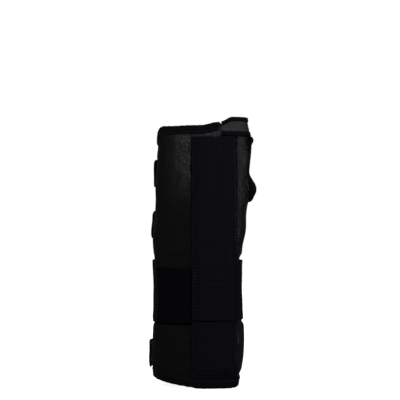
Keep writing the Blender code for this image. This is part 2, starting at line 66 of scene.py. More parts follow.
# The sleeve's driving sizes, as in the solid model
MIDDLE = np.array((0.001587, -0.001170, 0.0))
TOP_Z = 0.2615
PALMAR_ARC_R, PALMAR_ARC_Z, PALMAR_FACE_Y = 1.20, 0.10, -0.042
DORSAL_Y_AT_HEM, DORSAL_Y_AT_TOP = 0.040, 0.016
PALMAR_RIDGE_X, DORSAL_RIDGE_X = 0.014, -0.004
PALMAR_SQUARENESS, DORSAL_SQUARENESS = 3.0, 2.3
ULNAR_SIDE = ((0.0, -0.0455), (0.030, -0.0475), (0.060, -0.0462), (0.095, -0.0448), (0.130, -0.0462),
              (0.185, -0.0440), (0.270, -0.0415))
RADIAL_SIDE = ((0.0, 0.0378), (0.035, 0.0425), (0.060, 0.0420), (0.095, 0.0395), (0.130, 0.0398),
               (0.165, 0.0440), (0.200, 0.0465), (0.238, 0.0492), (0.270, 0.0440))
TOP_EDGE = ((0.320, 0.2510), (0.685, 0.2510), (0.765, 0.2610), (0.945, 0.2620), (1.020, 0.2650),
            (1.060, 0.2580), (1.220, 0.2575), (1.320, 0.2510))

WALL, GAP, WEBBING, HOOK, SLACK = 0.0025, 0.0004, 0.0014, 0.0007, 0.0004
OVER_PATCHES = 2 * HOOK + 2 * GAP
TAPE, TAPE_GAP, TOP_LEG, HEM_LEG, OPENING_LEG = 0.0008, 0.0006, 0.0090, 0.0100, 0.0042
HEM_LIFT = 0.0090
POCKET_X, POCKET_TOP_Z, COVER = (-0.0080, 0.0360), 0.2500, 0.0011
STAY_OUTER = 0.0034
OPENING_X = (-0.016, -0.003)
DORSAL_STAY_X = {"ulnar": -0.0268, "radial": 0.0098}
DORSAL_POCKET_Z, DORSAL_POCKET_HALF, DORSAL_POCKET_TOP = (0.028, 0.232), 0.0078, 0.0044
STRAP_Z, STRAP_TAB_Z, STRAP_ROOT = (0.0680, 0.1270), (0.0655, 0.1205), 0.700
CLOSURES = {"hand": (0.200, 0.668), "wrist": (0.148, 0.676), "forearm": (0.018, 0.722)}
CLOSURE_WIDTH, CLOSURE_ROOT_X = 0.028, 0.0200
WRIST_Z, SEAM = 0.165, 0.00004
THUMB_Y, THUMB_Z, THUMB_HALF_Y, THUMB_HALF_Z = -0.0050, 0.2185, 0.0170, 0.0290
THUMB_RIM = (0.0022, 0.0042)
WEB_ROOT_X, WEB_END_X = 0.021, 0.020
WEB_Z, WEB_END_Z, WEB_ROOT_DROP = (0.2520, 0.2685), (0.2300, 0.2465), 0.0045
WEB_ROOT_GIRTH, WEB_FOAM, WEB_LEG = 0.022, 0.0020, 0.0045
WEB_PATCH_X, WEB_PATCH_Z = (0.0305, 0.0210), (0.2315, 0.2405)
TONGUE_X, TONGUE_Z, KNIT = (0.012, -0.031), (0.0125, 0.2405), 0.0012
FOREARM_PATCHES = {"loop": ((-0.0370, -0.0100), 0.003), "hook": ((-0.0350, -0.0115), 0.005)}

# Rough sizes that set how many faces a piece gets, and the height at which the finger edge's girths are read
ROUGH_ROUND, ROUGH_TALL, RIM_ROUND, WEB_LONG = 0.26, 0.25, 0.148, 0.100
AT_TOP = 0.25


# The sleeve's surface


def smooth(x):
    """0 below 0, 1 above 1, and the eased cubic between."""
    x = np.clip(x, 0.0, 1.0)
    return x * x * (3.0 - 2.0 * x)


def bell(x, reach):
    """1 at 0, falling away as e to the power of minus the square of x over its reach."""
    return np.exp(-(x / reach) ** 2)


def through(points, z):
    """The cubic Hermite curve through (z, value) points, each slope taken from its neighbours."""
    zs, values = np.array(points).T
    slopes = np.gradient(values, zs)
    i = np.clip(np.searchsorted(zs, z) - 1, 0, len(zs) - 2)
    span = zs[i + 1] - zs[i]
    t = np.clip((z - zs[i]) / span, 0.0, 1.0)
    return ((1 + 2 * t) * (1 - t) ** 2 * values[i] + t * (1 - t) ** 2 * span * slopes[i]
            + t * t * (3 - 2 * t) * values[i + 1] + t * t * (t - 1) * span * slopes[i + 1])


def arc_y(z, offset=0.0):
    """The palmar face's y: a circle of the palmar arc's radius, moved out by offset."""
    return PALMAR_FACE_Y + PALMAR_ARC_R - np.sqrt((PALMAR_ARC_R + offset) ** 2 - (z - PALMAR_ARC_Z) ** 2)


def dorsal_y(z):
    """The dorsal ridge's y: a straight line from hem to top."""
    return DORSAL_Y_AT_HEM + (DORSAL_Y_AT_TOP - DORSAL_Y_AT_HEM) * z / TOP_Z


class Sleeve:
    """The sleeve's outer face as tables over height and girth, read by straight interpolation.

    Each section joins four quarters of superellipses: x runs from ridge to side as sin(t) to the power
    2/p and y from side to ridge as cos(t) to the power 2/p. Girth is the share of the section's length.
    """

    def __init__(self, heights=281, girths=900, samples=160, places=220):
        self.z = np.linspace(-0.004, 0.276, heights)
        palmar, dorsal = arc_y(self.z), dorsal_y(self.z)
        middle = (palmar + dorsal) / 2
        radial, ulnar = through(RADIAL_SIDE, self.z), through(ULNAR_SIDE, self.z)
        turn = np.linspace(0.0, math.pi / 2, samples)[:-1]
        xs, ys = [], []
        for ridge_x, ridge_y, side, power, out in (
                (PALMAR_RIDGE_X, palmar, radial, PALMAR_SQUARENESS, True),
                (DORSAL_RIDGE_X, dorsal, radial, DORSAL_SQUARENESS, False),
                (DORSAL_RIDGE_X, dorsal, ulnar, DORSAL_SQUARENESS, True),
                (PALMAR_RIDGE_X, palmar, ulnar, PALMAR_SQUARENESS, False)):
            t = turn if out else math.pi / 2 - turn
            across, along = np.sin(t) ** (2 / power), np.cos(t) ** (2 / power)
            xs.append(ridge_x + (side[:, None] - ridge_x) * across)
            ys.append(middle[:, None] + (ridge_y - middle)[:, None] * along)
        xs, ys = np.concatenate(xs, 1), np.concatenate(ys, 1)
        xs, ys = np.append(xs, xs[:, :1], 1), np.append(ys, ys[:, :1], 1)
        share = np.append(np.zeros((heights, 1)), np.cumsum(np.hypot(np.diff(xs), np.diff(ys)), 1), 1)
        self.length = share[:, -1].copy()
        share /= share[:, -1:]
        girth = np.arange(girths) / girths
        rows = range(heights)
        self.x = np.array([np.interp(girth, share[i], xs[i]) for i in rows])
        self.y = np.array([np.interp(girth, share[i], ys[i]) for i in rows])
        reach = round(0.004 * girths)
        tangent = np.stack([np.roll(t, -reach, 1) - np.roll(t, reach, 1) for t in (self.x, self.y)])
        self.tangent = tangent / np.hypot(*tangent)
        quarter = xs.shape[1] // 4
        self.places = np.linspace(-0.052, 0.054, places)
        near = np.array([np.interp(self.places, xs[i, :quarter], share[i, :quarter]) for i in rows])
        far = np.array([np.interp(self.places, xs[i, -quarter:], share[i, -quarter:]) - 1.0 for i in rows])
        self.palmar_girth = np.where(self.places >= PALMAR_RIDGE_X, near, far)
        face = slice(quarter + 1, 3 * quarter)
        self.dorsal_girth = np.array([np.interp(-self.places, -xs[i, face], share[i, face]) for i in rows])

    def row(self, z):
        """The lower table row and the share of the way to the next one."""
        at = np.clip((z - self.z[0]) / (self.z[1] - self.z[0]), 0.0, len(self.z) - 1.001)
        i = at.astype(int)
        return i, at - i

    def read(self, table, z, at, wraps):
        """Bilinear reading of a table at a height and a column place."""
        z, at = np.broadcast_arrays(np.asarray(z, float), np.asarray(at, float))
        i, f = self.row(z)
        columns = table.shape[1]
        at = at % columns if wraps else np.clip(at, 0.0, columns - 1.001)
        j = np.minimum(at.astype(int), columns - 1)
        g, k = at - j, (j + 1) % columns
        low = table[i, j] * (1 - g) + table[i, k] * g
        high = table[i + 1, j] * (1 - g) + table[i + 1, k] * g
        return low * (1 - f) + high * f

    def point(self, girth, z, depth=0.0):
        """x, y, z on the sleeve's outer face, moved outwards in its section by depth."""
        at = np.asarray(girth, float) * self.x.shape[1]
        z = np.broadcast_to(np.asarray(z, float), np.broadcast(girth, z).shape)
        x, y = self.read(self.x, z, at, True), self.read(self.y, z, at, True)
        tx, ty = self.read(self.tangent[0], z, at, True), self.read(self.tangent[1], z, at, True)
        size = np.hypot(tx, ty)
        return np.stack([x + ty / size * depth, y - tx / size * depth, z + 0 * x], axis=-1)

    def across(self, table, x, z):
        """Column place of an x in the girth tables."""
        step = self.places[1] - self.places[0]
        return self.read(table, z, (np.asarray(x, float) - self.places[0]) / step, False)

    def palmar(self, x, z):
        """The girth at which the palmar face has this x: below 0 on the little-finger side."""
        return self.across(self.palmar_girth, x, z)

    def dorsal(self, x, z):
        """The girth at which the dorsal face has this x."""
        return self.across(self.dorsal_girth, x, z)

    def round_length(self, z):
        """Length of the section at a height."""
        i, f = self.row(np.asarray(z, float))
        return self.length[i] * (1 - f) + self.length[i + 1] * f


SLEEVE = Sleeve()


def hem_z(girth):
    """Height of the hem: flat on the floor, lifted below the little finger's palmar side."""
    girth = girth % 1.0
    return HEM_LIFT * smooth((girth - 0.56) / 0.11) * np.clip((0.94 - girth) / 0.20, 0.0, 1.0)


def top_z(girth):
    """Height of the finger edge: eased from each point of TOP_EDGE to the next."""
    girths, heights = np.array(TOP_EDGE).T
    girth = (girth - girths[0]) % 1.0 + girths[0]
    i = np.clip(np.searchsorted(girths, girth) - 1, 0, len(girths) - 2)
    share = smooth((girth - girths[i]) / (girths[i + 1] - girths[i]))
    return heights[i] + (heights[i + 1] - heights[i]) * share


def level(z):
    """The same height at every girth."""
    return lambda girth: z + 0 * girth


def back_share(point):
    """1 on the dorsal half of the section and 0 on the palmar half, with a short ease between."""
    middle = (arc_y(point[..., 2]) + dorsal_y(point[..., 2])) / 2
    return smooth((point[..., 1] - middle) / 0.002 + 0.5)


def pocket_depth(point):
    """Depth of the pocket cover's inner face: sewn flat at its sides and foot, over the stay between."""
    x, y, z = point[..., 0], point[..., 1], point[..., 2]
    from_side = np.minimum(x - POCKET_X[0], POCKET_X[1] - x)
    over = smooth((from_side - 0.0030) / 0.0056) * smooth((z - 0.0130) / 0.0060)
    clear = np.maximum((y - arc_y(z, STAY_OUTER)) * 1.05 + GAP, GAP)
    return GAP + (clear - GAP) * over


def palmar_relief(point):
    """How far the pocket stands out from the wall at a palmar point."""
    x = point[..., 0]
    inside = np.minimum(x - POCKET_X[0] + 0.004, POCKET_X[1] + 0.006 - x) / 0.004
    return (pocket_depth(point) + COVER) * smooth(inside) * (1.0 - back_share(point))


def dorsal_relief(point):
    """How far the dorsal pockets stand out, bridged level between them."""
    centre = (DORSAL_STAY_X["ulnar"] + DORSAL_STAY_X["radial"]) / 2
    reach = np.abs(point[..., 0] - centre) - (DORSAL_STAY_X["radial"] - centre + DORSAL_POCKET_HALF)
    return (DORSAL_POCKET_TOP + 0.0020) * (1.0 - smooth((reach - 0.0035) / 0.008)) * back_share(point)


def strap_depth(point):
    """Inner depth of the wide strap over the wall and whatever stands out from it."""
    return GAP + np.maximum(palmar_relief(point), dorsal_relief(point))


def tab_depth(point):
    """Inner depth of the strap's free end, which climbs from its root onto its hook patch."""
    root = SLEEVE.point(STRAP_ROOT, point[..., 2])[..., 0]
    climb = smooth((point[..., 0] - root - 0.0015) / 0.006)
    return GAP + OVER_PATCHES * climb * (1.0 - back_share(point))


def closure_depth(point):
    """Inner depth of a closure strap: over the pockets, then down onto its hook."""
    landing = smooth((-0.0335 - point[..., 0]) / 0.004)
    return GAP + np.maximum(dorsal_relief(point), OVER_PATCHES * landing)


def web_span(u, z):
    """Girths of the web strap, from its palmar root round the thumb side to its dorsal end."""
    start = SLEEVE.palmar(WEB_ROOT_X, z)
    return start + (SLEEVE.dorsal(WEB_END_X, z) - start) * u


def web_share(girth):
    """0 over the palm and the side, rising to 1 at the dorsal end."""
    start, end = SLEEVE.palmar(WEB_ROOT_X, AT_TOP), SLEEVE.dorsal(WEB_END_X, AT_TOP)
    return smooth(((girth - start) / (end - start) - 0.70) / 0.28)


def web_low(girth):
    """Height of the web strap's lower edge."""
    return WEB_Z[0] + (WEB_END_Z[0] - WEB_Z[0]) * web_share(girth)


def web_high(girth):
    """Height of the web strap's upper edge, dropped a little at its palmar root."""
    rise = smooth((girth - SLEEVE.palmar(WEB_ROOT_X, AT_TOP)) / 0.05)
    return WEB_Z[1] - WEB_ROOT_DROP * (1.0 - rise) + (WEB_END_Z[1] - WEB_Z[1]) * web_share(girth)


def web_depth(point):
    """Inner depth of the web strap: clear of the finger edge's binding, and of the hook below it."""
    return GAP + 0.0002 + OVER_PATCHES * back_share(point) * smooth((0.046 - point[..., 0]) / 0.006)


# Meshes


def spread(length, step, edge=0.0007):
    """Places from 0 to 1 over a length: even steps inside, and closer together at both ends."""
    ends = np.array([0.0, 0.12, 0.35, 0.65]) * edge
    inside = np.linspace(edge, length - edge, max(int(round((length - 2 * edge) / step)), 2) + 1)
    return np.concatenate([ends, inside, length - ends[::-1]]) / length


def waves(a, b, sizes, seed):
    """Sine waves over two lengths, one for each wavelength, in seeded directions and phases.

    The sum is divided by the square root of their number, which keeps it at about -1 to 1.
    """
    rng = np.random.default_rng(seed)
    total = 0.0
    for size in sizes:
        turn, phase = rng.uniform(0, 2 * math.pi, 2)
        total = total + np.sin(2 * math.pi * (a * math.cos(turn) + b * math.sin(turn)) / size + phase)
    return total / math.sqrt(len(sizes))


def grid_faces(columns, rows, ring=False, tube=False):
    """Quads of a grid whose vertex number is column times rows plus row.

    ring joins the last column to the first, and tube joins each column's last row to its first.
    """
    i = np.arange(columns if ring else columns - 1)[:, None]
    j = np.arange(rows if tube else rows - 1)[None, :]
    a, b, k = i * rows, (i + 1) % columns * rows, (j + 1) % rows
    return np.stack([a + j, b + j, b + k, a + k], axis=-1).reshape(-1, 4)


def add_piece(name, points, quads, lengths, materials, slots=None):
    """A mesh object from points, quads and their places along two lengths, kept as the metres map."""
    corners = points[quads]
    volume = np.einsum("ij,ij->i", corners[:, 0], np.cross(corners[:, 1], corners[:, 2])).sum()
    volume += np.einsum("ij,ij->i", corners[:, 0], np.cross(corners[:, 2], corners[:, 3])).sum()
    if volume < 0:
        quads = quads[:, ::-1]
    mesh = bpy.data.meshes.new(name)
    mesh.vertices.add(len(points))
    mesh.vertices.foreach_set("co", (points - MIDDLE).ravel())
    mesh.loops.add(quads.size)
    mesh.loops.foreach_set("vertex_index", quads.ravel())
    mesh.polygons.add(len(quads))
    mesh.polygons.foreach_set("loop_start", np.arange(0, quads.size, 4))
    mesh.update(calc_edges=True)
    mesh.uv_layers.new(name="metres").data.foreach_set("uv", lengths[quads].ravel())
    for material in materials:
        mesh.materials.append(material)
    if slots is not None:
        mesh.polygons.foreach_set("material_index", slots)
    mesh.validate()
    mesh.shade_smooth()
    piece = bpy.data.objects.new(name, mesh)
    bpy.context.collection.objects.link(piece)
    return piece


def add_shell(name, outer, inner, lengths, materials):
    """A closed cloth layer from its outer and inner faces, each a grid, joined round the rim.

    With two materials the second is the inner face's.
    """
    columns, rows = outer.shape[:2]
    count = columns * rows
    number = np.arange(count).reshape(columns, rows)
    rim = np.concatenate([number[:, 0], number[-1, 1:], number[-2::-1, -1], number[0, -2:0:-1]])
    onward = np.roll(rim, -1)
    face = grid_faces(columns, rows)
    sides = np.stack([onward, rim, rim + count, onward + count], axis=1)
    quads = np.concatenate([face, face[:, ::-1] + count, sides])
    slots = np.zeros(len(quads), int)
    if len(materials) > 1:
        slots[len(face):2 * len(face)] = 1
    points = np.concatenate([outer.reshape(-1, 3), inner.reshape(-1, 3)])
    flat = lengths.reshape(-1, 2)
    return add_piece(name, points, quads, np.concatenate([flat, flat]), materials, slots)


def edge_round(u_length, v_length, radius):
    """How full a layer is near its edges: a quarter circle in from the rim, from 0.25 to 1."""
    near = np.clip(np.minimum(u_length, v_length) / radius, 0.0, 1.0)
    return 0.25 + 0.75 * np.sqrt(1.0 - (1.0 - near) ** 2)


def ends_of(u, girths, low, high):
    """Heights at which each column meets the edges low and high, by reading girth and height in turn."""
    bottom, top = np.zeros_like(u), np.full_like(u, AT_TOP)
    for _ in range(6):
        bottom, top = low(girths(u, bottom)), high(girths(u, top))
    return bottom, top


def lay_cloth(name, girths, low, high, size, inner, thickness, materials, step=0.002, relief=None,
              corner=0.0):
    """A cloth layer on the sleeve, over u across and v up.

    Girth is girths(u, z) and z runs evenly from low(girth) to high(girth). The inner face lies at the depth
    inner(point) and the outer face one thickness further out, rounded at the rim. relief(a, z, u, v) adds to
    the outer face, where a is the length across. size is the layer's rough width and height, and corner is
    the radius of its two far corners.
    """
    step = step if isinstance(step, tuple) else (step, step)
    u, v = np.meshgrid(spread(size[0], step[0]), spread(size[1], step[1]), indexing="ij")
    bottom, top = ends_of(u, girths, low, high)
    beyond = np.clip(u * size[0] - (size[0] - corner), 0.0, corner)
    pull = corner - np.sqrt(corner ** 2 - beyond ** 2)
    z = bottom + pull + (top - bottom - 2 * pull) * v
    girth = girths(u, z)
    wide = np.abs(girths(np.ones_like(u), z) - girths(np.zeros_like(u), z)) * SLEEVE.round_length(z)
    tall = top - bottom
    full = edge_round(np.minimum(u, 1 - u) * wide, np.minimum(v, 1 - v) * tall, thickness * 0.7)
    lengths = np.stack([u * wide, z], axis=-1)
    base = inner(SLEEVE.point(girth, z)) if callable(inner) else inner
    middle = base + thickness / 2
    raised = relief(u * wide, z, u, v) * full if relief else 0.0
    outer_face = SLEEVE.point(girth, z, middle + thickness / 2 * full + raised)
    inner_face = SLEEVE.point(girth, z, middle - thickness / 2 * full)
    return add_shell(name, outer_face, inner_face, lengths, materials)


def fold_tape(name, girths, heights, inward, leg, pitch, materials, seed, base=0.0, inside=WALL):
    """A tape folded over the wall's edge, over s along the edge and t across the tape.

    Across, the centre line runs up one face, round a half ellipse over the edge, and down the other face. It
    is drawn in at its row of stitches and ripples a little between them. inward(girth, z, distance) gives the
    girth and height at a distance in from the edge.
    """
    near, far = base + TAPE_GAP + TAPE / 2, -inside - TAPE_GAP - TAPE / 2
    middle, half = (near + far) / 2, (near - far) / 2
    rise = min(0.0016, half)
    straight = np.array([0.0, 0.0006, 0.0012, 0.0016, 0.0020, 0.0026, 0.0034, 0.0048, 0.0066])
    straight = straight[straight < leg - rise - TAPE]
    over = np.linspace(0, math.pi, 11)
    depth = np.concatenate([np.full(len(straight), near), middle + half * np.cos(over),
                            np.full(len(straight), far)])
    distance = np.concatenate([leg - straight, rise + TAPE / 2 - rise * np.sin(over), leg - straight[::-1]])
    tangent = np.stack([np.gradient(depth), np.gradient(distance)])
    tangent /= np.hypot(*tangent)
    around = np.cumsum(np.hypot(np.diff(depth, prepend=depth[0]), np.diff(distance, prepend=distance[0])))
    first = SLEEVE.point(girths, heights)
    along = np.concatenate([[0.0], np.cumsum(np.linalg.norm(np.diff(first, axis=0), axis=1))])
    a, b = np.meshgrid(along, around, indexing="ij")
    from_rim = np.minimum(b, around[-1] - b)
    full = edge_round(np.minimum(a, along[-1] - a), from_rim, TAPE * 0.6)
    stitched = bell(from_rim - 0.0018, 0.0008) * (0.62 + 0.38 * np.cos(2 * math.pi * a / pitch))
    ripple = 0.00022 * waves(a, b * 0.3, (0.011, 0.0061, 0.0043), seed)
    drawn = ripple * 0.75 - 0.0003 - 0.00022 * stitched
    faces = []
    for side in (0.5, -0.5):
        off = side * TAPE * full + drawn * (1.0 if side > 0 else 0.4)
        d = depth + off * -tangent[1]
        r = distance + off * tangent[0]
        girth, z = inward(girths[:, None], heights[:, None], r)
        faces.append(SLEEVE.point(girth, z, d))
    return add_shell(name, faces[0], faces[1], np.stack([a, b], axis=-1), materials)


def sew(name, points, outward, pitch, material, length=0.0021, radius=0.00028):
    """A row of thread stitches: a small capsule every pitch along a path, half sunk in the cloth.

    Each capsule is rings of six round its length, whose radius follows a half sine to the power 0.4 and whose
    middle is lifted along the outward direction.
    """
    gaps = np.linalg.norm(np.diff(points, axis=0), axis=1)
    along = np.concatenate([[0.0], np.cumsum(gaps)])
    count = max(int(along[-1] / pitch), 1)
    centre = (np.arange(count) + 0.5) * along[-1] / count

    def at(values, place):
        return np.stack([np.interp(place, along, values[:, k]) for k in range(3)], axis=-1)

    here, before, after = (at(points, centre + shift) for shift in (0.0, -0.0004, 0.0004))
    forward = after - before
    forward /= np.linalg.norm(forward, axis=1, keepdims=True)
    up = at(outward, centre)
    up -= (up * forward).sum(1, keepdims=True) * forward
    up /= np.linalg.norm(up, axis=1, keepdims=True)
    side = np.cross(forward, up)
    rings, sides = 7, 6
    place = np.linspace(-1, 1, rings)
    thick = radius * np.maximum(np.cos(place * math.pi / 2), 0.0) ** 0.4 + radius * 0.02
    turn = np.linspace(0, 2 * math.pi, sides + 1)[:-1]
    lift = radius * (0.9 * np.cos(place * math.pi / 2) - 0.5)
    ring = (here[:, None, None] + forward[:, None, None] * (place * length / 2)[None, :, None, None]
            + up[:, None, None] * (lift[:, None] + thick[:, None] * np.cos(turn))[None, :, :, None]
            + side[:, None, None] * (thick[:, None] * np.sin(turn))[None, :, :, None])
    ends = np.array([[0, 1, 2, 3], [0, 3, 4, 5], [39, 38, 37, 36], [41, 40, 39, 36]])
    one = np.concatenate([grid_faces(rings, sides, tube=True), ends])
    quads = (one[None] + rings * sides * np.arange(count)[:, None, None]).reshape(-1, 4)
    lengths = np.broadcast_to(np.stack([place[:, None] + 0 * turn, turn + 0 * place[:, None]], -1) * 0.001,
                              (count, rings, sides, 2))
    return add_piece(name, ring.reshape(-1, 3), quads, lengths.reshape(-1, 2), [material])


def sew_on_sleeve(name, girth, z, depth, material, pitch=0.0034):
    """Stitches along a path given by its girths, heights and depths on the sleeve."""
    girth, z, depth = np.broadcast_arrays(*(np.asarray(k, float) for k in (girth, z, depth)))
    points = SLEEVE.point(girth, z, depth)
    return sew(name, points, SLEEVE.point(girth, z, depth + 0.001) - points, pitch, material)


# Finishes


class Number:
    """A number socket in a finish, which can be written in Python sums; each operator adds its Math node."""

    def __init__(self, finish, socket):
        self.finish, self.socket = finish, socket

    def math(self, operation, *values):
        return self.finish.number("ShaderNodeMath", {"operation": operation}, dict(enumerate(values)))

    def __add__(self, other): return self.math("ADD", self, other)
    def __sub__(self, other): return self.math("SUBTRACT", self, other)
    def __rsub__(self, other): return self.math("SUBTRACT", other, self)
    def __mul__(self, other): return self.math("MULTIPLY", self, other)
    def __pow__(self, other): return self.math("POWER", self, other)
    def __abs__(self): return self.math("ABSOLUTE", self)

    def sine(self):
        return self.math("SINE", self)

    def floor(self):
        return self.math("FLOOR", self)

    def between(self, low, high):
        """0 at low and 1 at high, eased."""
        return self.finish.number("ShaderNodeMapRange", {"interpolation_type": "SMOOTHSTEP"},
                                  {"Value": self, "From Min": low, "From Max": high})


class Finish:
    """A procedural material built on one Principled shader."""

    def __init__(self, name, **constants):
        self.material = bpy.data.materials.new(name)
        self.material.use_nodes = True
        self.tree = self.material.node_tree
        self.shader = self.tree.nodes["Principled BSDF"]
        for key, value in constants.items():
            self.shader.inputs[key.replace("_", " ")].default_value = value

    def node(self, kind, settings=None, inputs=None):
        """Any node: its settings first, then the values or links of its sockets."""
        node = self.tree.nodes.new(kind)
        for key, value in (settings or {}).items():
            setattr(node, key, value)
        for key, value in (inputs or {}).items():
            if isinstance(value, Number):
                value = value.socket
            if isinstance(value, bpy.types.NodeSocket):
                self.tree.links.new(value, node.inputs[key])
            elif value is not None:
                node.inputs[key].default_value = value
        return node

    def number(self, kind, settings=None, inputs=None):
        return Number(self, self.node(kind, settings, inputs).outputs[0])

    def parts(self, vector):
        """The three numbers of a vector."""
        split = self.node("ShaderNodeSeparateXYZ", inputs={0: vector})
        return (Number(self, split.outputs[k]) for k in range(3))

    def place(self):
        """Object coordinates."""
        return self.node("ShaderNodeTexCoord").outputs["Object"]

    def metres(self):
        """Lengths along and across the cloth, from the piece's own map."""
        u, v, _ = self.parts(self.node("ShaderNodeUVMap", {"uv_map": "metres"}).outputs[0])
        return u, v

    def vector(self, x, y, z=0.0):
        return self.node("ShaderNodeCombineXYZ", inputs={0: x, 1: y, 2: z}).outputs[0]

    def noise(self, vector, scale, detail=2.0, roughness=0.5):
        return self.number("ShaderNodeTexNoise", inputs={"Vector": vector, "Scale": scale, "Detail": detail,
                                                         "Roughness": roughness})

    def cells(self, vector, scale):
        return self.number("ShaderNodeTexVoronoi", inputs={"Vector": vector, "Scale": scale})

    def mix(self, factor, first, second):
        """A colour between two colours."""
        first, second = ((*c, 1.0) if isinstance(c, tuple) else c for c in (first, second))
        return self.node("ShaderNodeMix", {"data_type": "RGBA"}, {0: factor, 6: first, 7: second}).outputs[2]

    def apply(self, colour, roughness, height, distance):
        """Connect colour, roughness and relief, and give back the material."""
        self.tree.links.new(colour, self.shader.inputs["Base Color"])
        self.tree.links.new(roughness.socket, self.shader.inputs["Roughness"])
        bump = self.node("ShaderNodeBump", inputs={"Height": height, "Distance": distance, "Strength": 1.0})
        self.tree.links.new(bump.outputs[0], self.shader.inputs["Normal"])
        return self.material


def shade(colour, share):
    """A colour made lighter or darker by a share."""
    return tuple(min(c * share, 1.0) for c in colour)


def laminate_finish(name, colour, roughness=0.95, specular=0.20, rubbed=0.66):
    """Foam laminate with a leathery face: fine grain cells, broad mottling and scuffs.

    It is shinier where it is rubbed: on the thumb side, and on the little-finger side below the finger edge.
    """
    finish = Finish(name, Specular_IOR_Level=specular)
    place = finish.place()
    x, _, z = finish.parts(place)
    mottle = finish.noise(place, 210.0, 4.0, 0.62)
    broad = finish.noise(place, 38.0, 2.0)
    grain = finish.cells(place, 900.0)
    pebble = finish.noise(place, 520.0, 3.0, 0.6)
    scuff = finish.noise(place, 640.0, 3.0, 0.7).between(0.56, 0.70)
    streak = finish.noise(finish.vector(x * 150.0, z * 45.0), 1.0, 3.0, 0.6).between(0.30, 0.62)
    corner = z.between(0.170, 0.225) * x.between(-0.046, -0.013)
    shine = (corner + x.between(0.029, 0.036)) * (streak * 0.55 + 0.45)
    tone = mottle.between(0.34, 0.70) * 0.75 + broad * 0.25
    base = finish.mix(tone, shade(colour, 0.45), shade(colour, 1.5))
    base = finish.mix(scuff * 0.5, base, shade(colour, 4.0))
    height = grain * 0.5 + mottle * 1.2 + pebble * 1.1
    rough = mottle * 0.2 + (roughness - 0.10) - scuff * 0.06 - shine * rubbed
    return finish.apply(base, rough, height, 0.00060)


def ribbed_finish(name, colour, pitch, along_u, specular=0.05):
    """Elastic with ribs: rounded cords along one way, and fine weft bars between them."""
    finish = Finish(name, Specular_IOR_Level=specular, Sheen_Weight=0.012, Sheen_Roughness=0.5)
    u, v = finish.metres()
    across, along = (v, u) if along_u else (u, v)
    wander = finish.noise(finish.place(), 60.0, 1.0) * 0.00025
    rib = abs(((across + wander) * (math.pi / pitch)).sine())
    weft = ((along * (2 * math.pi / 0.00095)).sine() * 0.5 + 0.5) * rib
    fuzz = finish.noise(finish.place(), 2400.0, 3.0, 0.6)
    worn = finish.noise(finish.place(), 85.0, 3.0, 0.6)
    tone = rib ** 0.8 * 0.62 + weft * 0.16 + worn * 0.22
    base = finish.mix(tone, shade(colour, 0.35), shade(colour, 1.75))
    base = finish.mix(fuzz.between(0.60, 0.78) * 0.35, base, shade(colour, 3.0))
    return finish.apply(base, fuzz * 0.15 + 0.72, rib * 1.0 + weft * 0.22 + fuzz * 0.22, 0.00040)


def webbing_finish(name, colour, pitch=0.0016, specular=0.04):
    """Flat woven webbing: staggered warp floats in columns along the strap."""
    finish = Finish(name, Specular_IOR_Level=specular, Sheen_Weight=0.010, Sheen_Roughness=0.5)
    u, v = finish.metres()
    column = (v * (1 / pitch)).floor()
    warp = abs((v * (math.pi / pitch)).sine())
    floats = abs((u * (math.pi / (pitch * 1.3)) + column * (math.pi / 2)).sine())
    weave = warp ** 0.7 * (floats * 0.7 + 0.3)
    fuzz = finish.noise(finish.place(), 2600.0, 3.0, 0.6)
    worn = finish.noise(finish.place(), 90.0, 3.0, 0.6)
    base = finish.mix(weave * 0.75 + worn * 0.25, shade(colour, 0.4), shade(colour, 1.7))
    base = finish.mix(fuzz.between(0.62, 0.80) * 0.3, base, shade(colour, 3.0))
    return finish.apply(base, fuzz * 0.16 + 0.70, weave + fuzz * 0.25, 0.00030)


def twill_finish(name, colour, specular=0.06):
    """Binding tape: a fine twill whose diagonal ridges cross the tape."""
    finish = Finish(name, Specular_IOR_Level=specular, Sheen_Weight=0.010, Sheen_Roughness=0.45)
    u, v = finish.metres()
    ridge = abs(((u + v * 0.8) * (math.pi / 0.00110)).sine())
    thread = abs(((u - v * 0.9) * (math.pi / 0.00042)).sine())
    fuzz = finish.noise(finish.place(), 2200.0, 3.0, 0.6)
    worn = finish.noise(finish.place(), 140.0, 3.0, 0.6)
    base = finish.mix(ridge * 0.6 + worn * 0.4, shade(colour, 0.45), shade(colour, 1.6))
    base = finish.mix(fuzz.between(0.60, 0.80) * 0.35, base, shade(colour, 3.2))
    return finish.apply(base, fuzz * 0.15 + 0.62, ridge + thread * 0.35 + fuzz * 0.3, 0.00022)


def knit_finish(name, colour, wale=0.0017, course=0.0013):
    """Stretch knit: columns of V-shaped loops."""
    finish = Finish(name, Specular_IOR_Level=0.08, Sheen_Weight=0.10, Sheen_Roughness=0.5)
    u, v = finish.metres()
    leg = abs((u * (math.pi / wale)).sine())
    loop = abs((v * (math.pi / course) + leg * 1.5).sine())
    fuzz = finish.noise(finish.place(), 1900.0, 3.0, 0.6)
    base = finish.mix(leg * 0.4 + loop * 0.6, shade(colour, 0.35), shade(colour, 1.7))
    return finish.apply(base, fuzz * 0.12 + 0.80, leg * 0.6 + loop * 0.7 + fuzz * 0.2, 0.00035)


def pile_finish(name, colour):
    """Brushed loop pile: short matted fibres in tufts."""
    finish = Finish(name, Specular_IOR_Level=0.06, Sheen_Weight=0.22, Sheen_Roughness=0.4)
    tuft = finish.noise(finish.place(), 900.0, 4.0, 0.75)
    fibre = finish.noise(finish.place(), 3400.0, 3.0, 0.7)
    base = finish.mix(tuft.between(0.30, 0.72), shade(colour, 0.35), shade(colour, 1.9))
    return finish.apply(base, fibre * 0.1 + 0.86, tuft + fibre * 0.6, 0.00050)


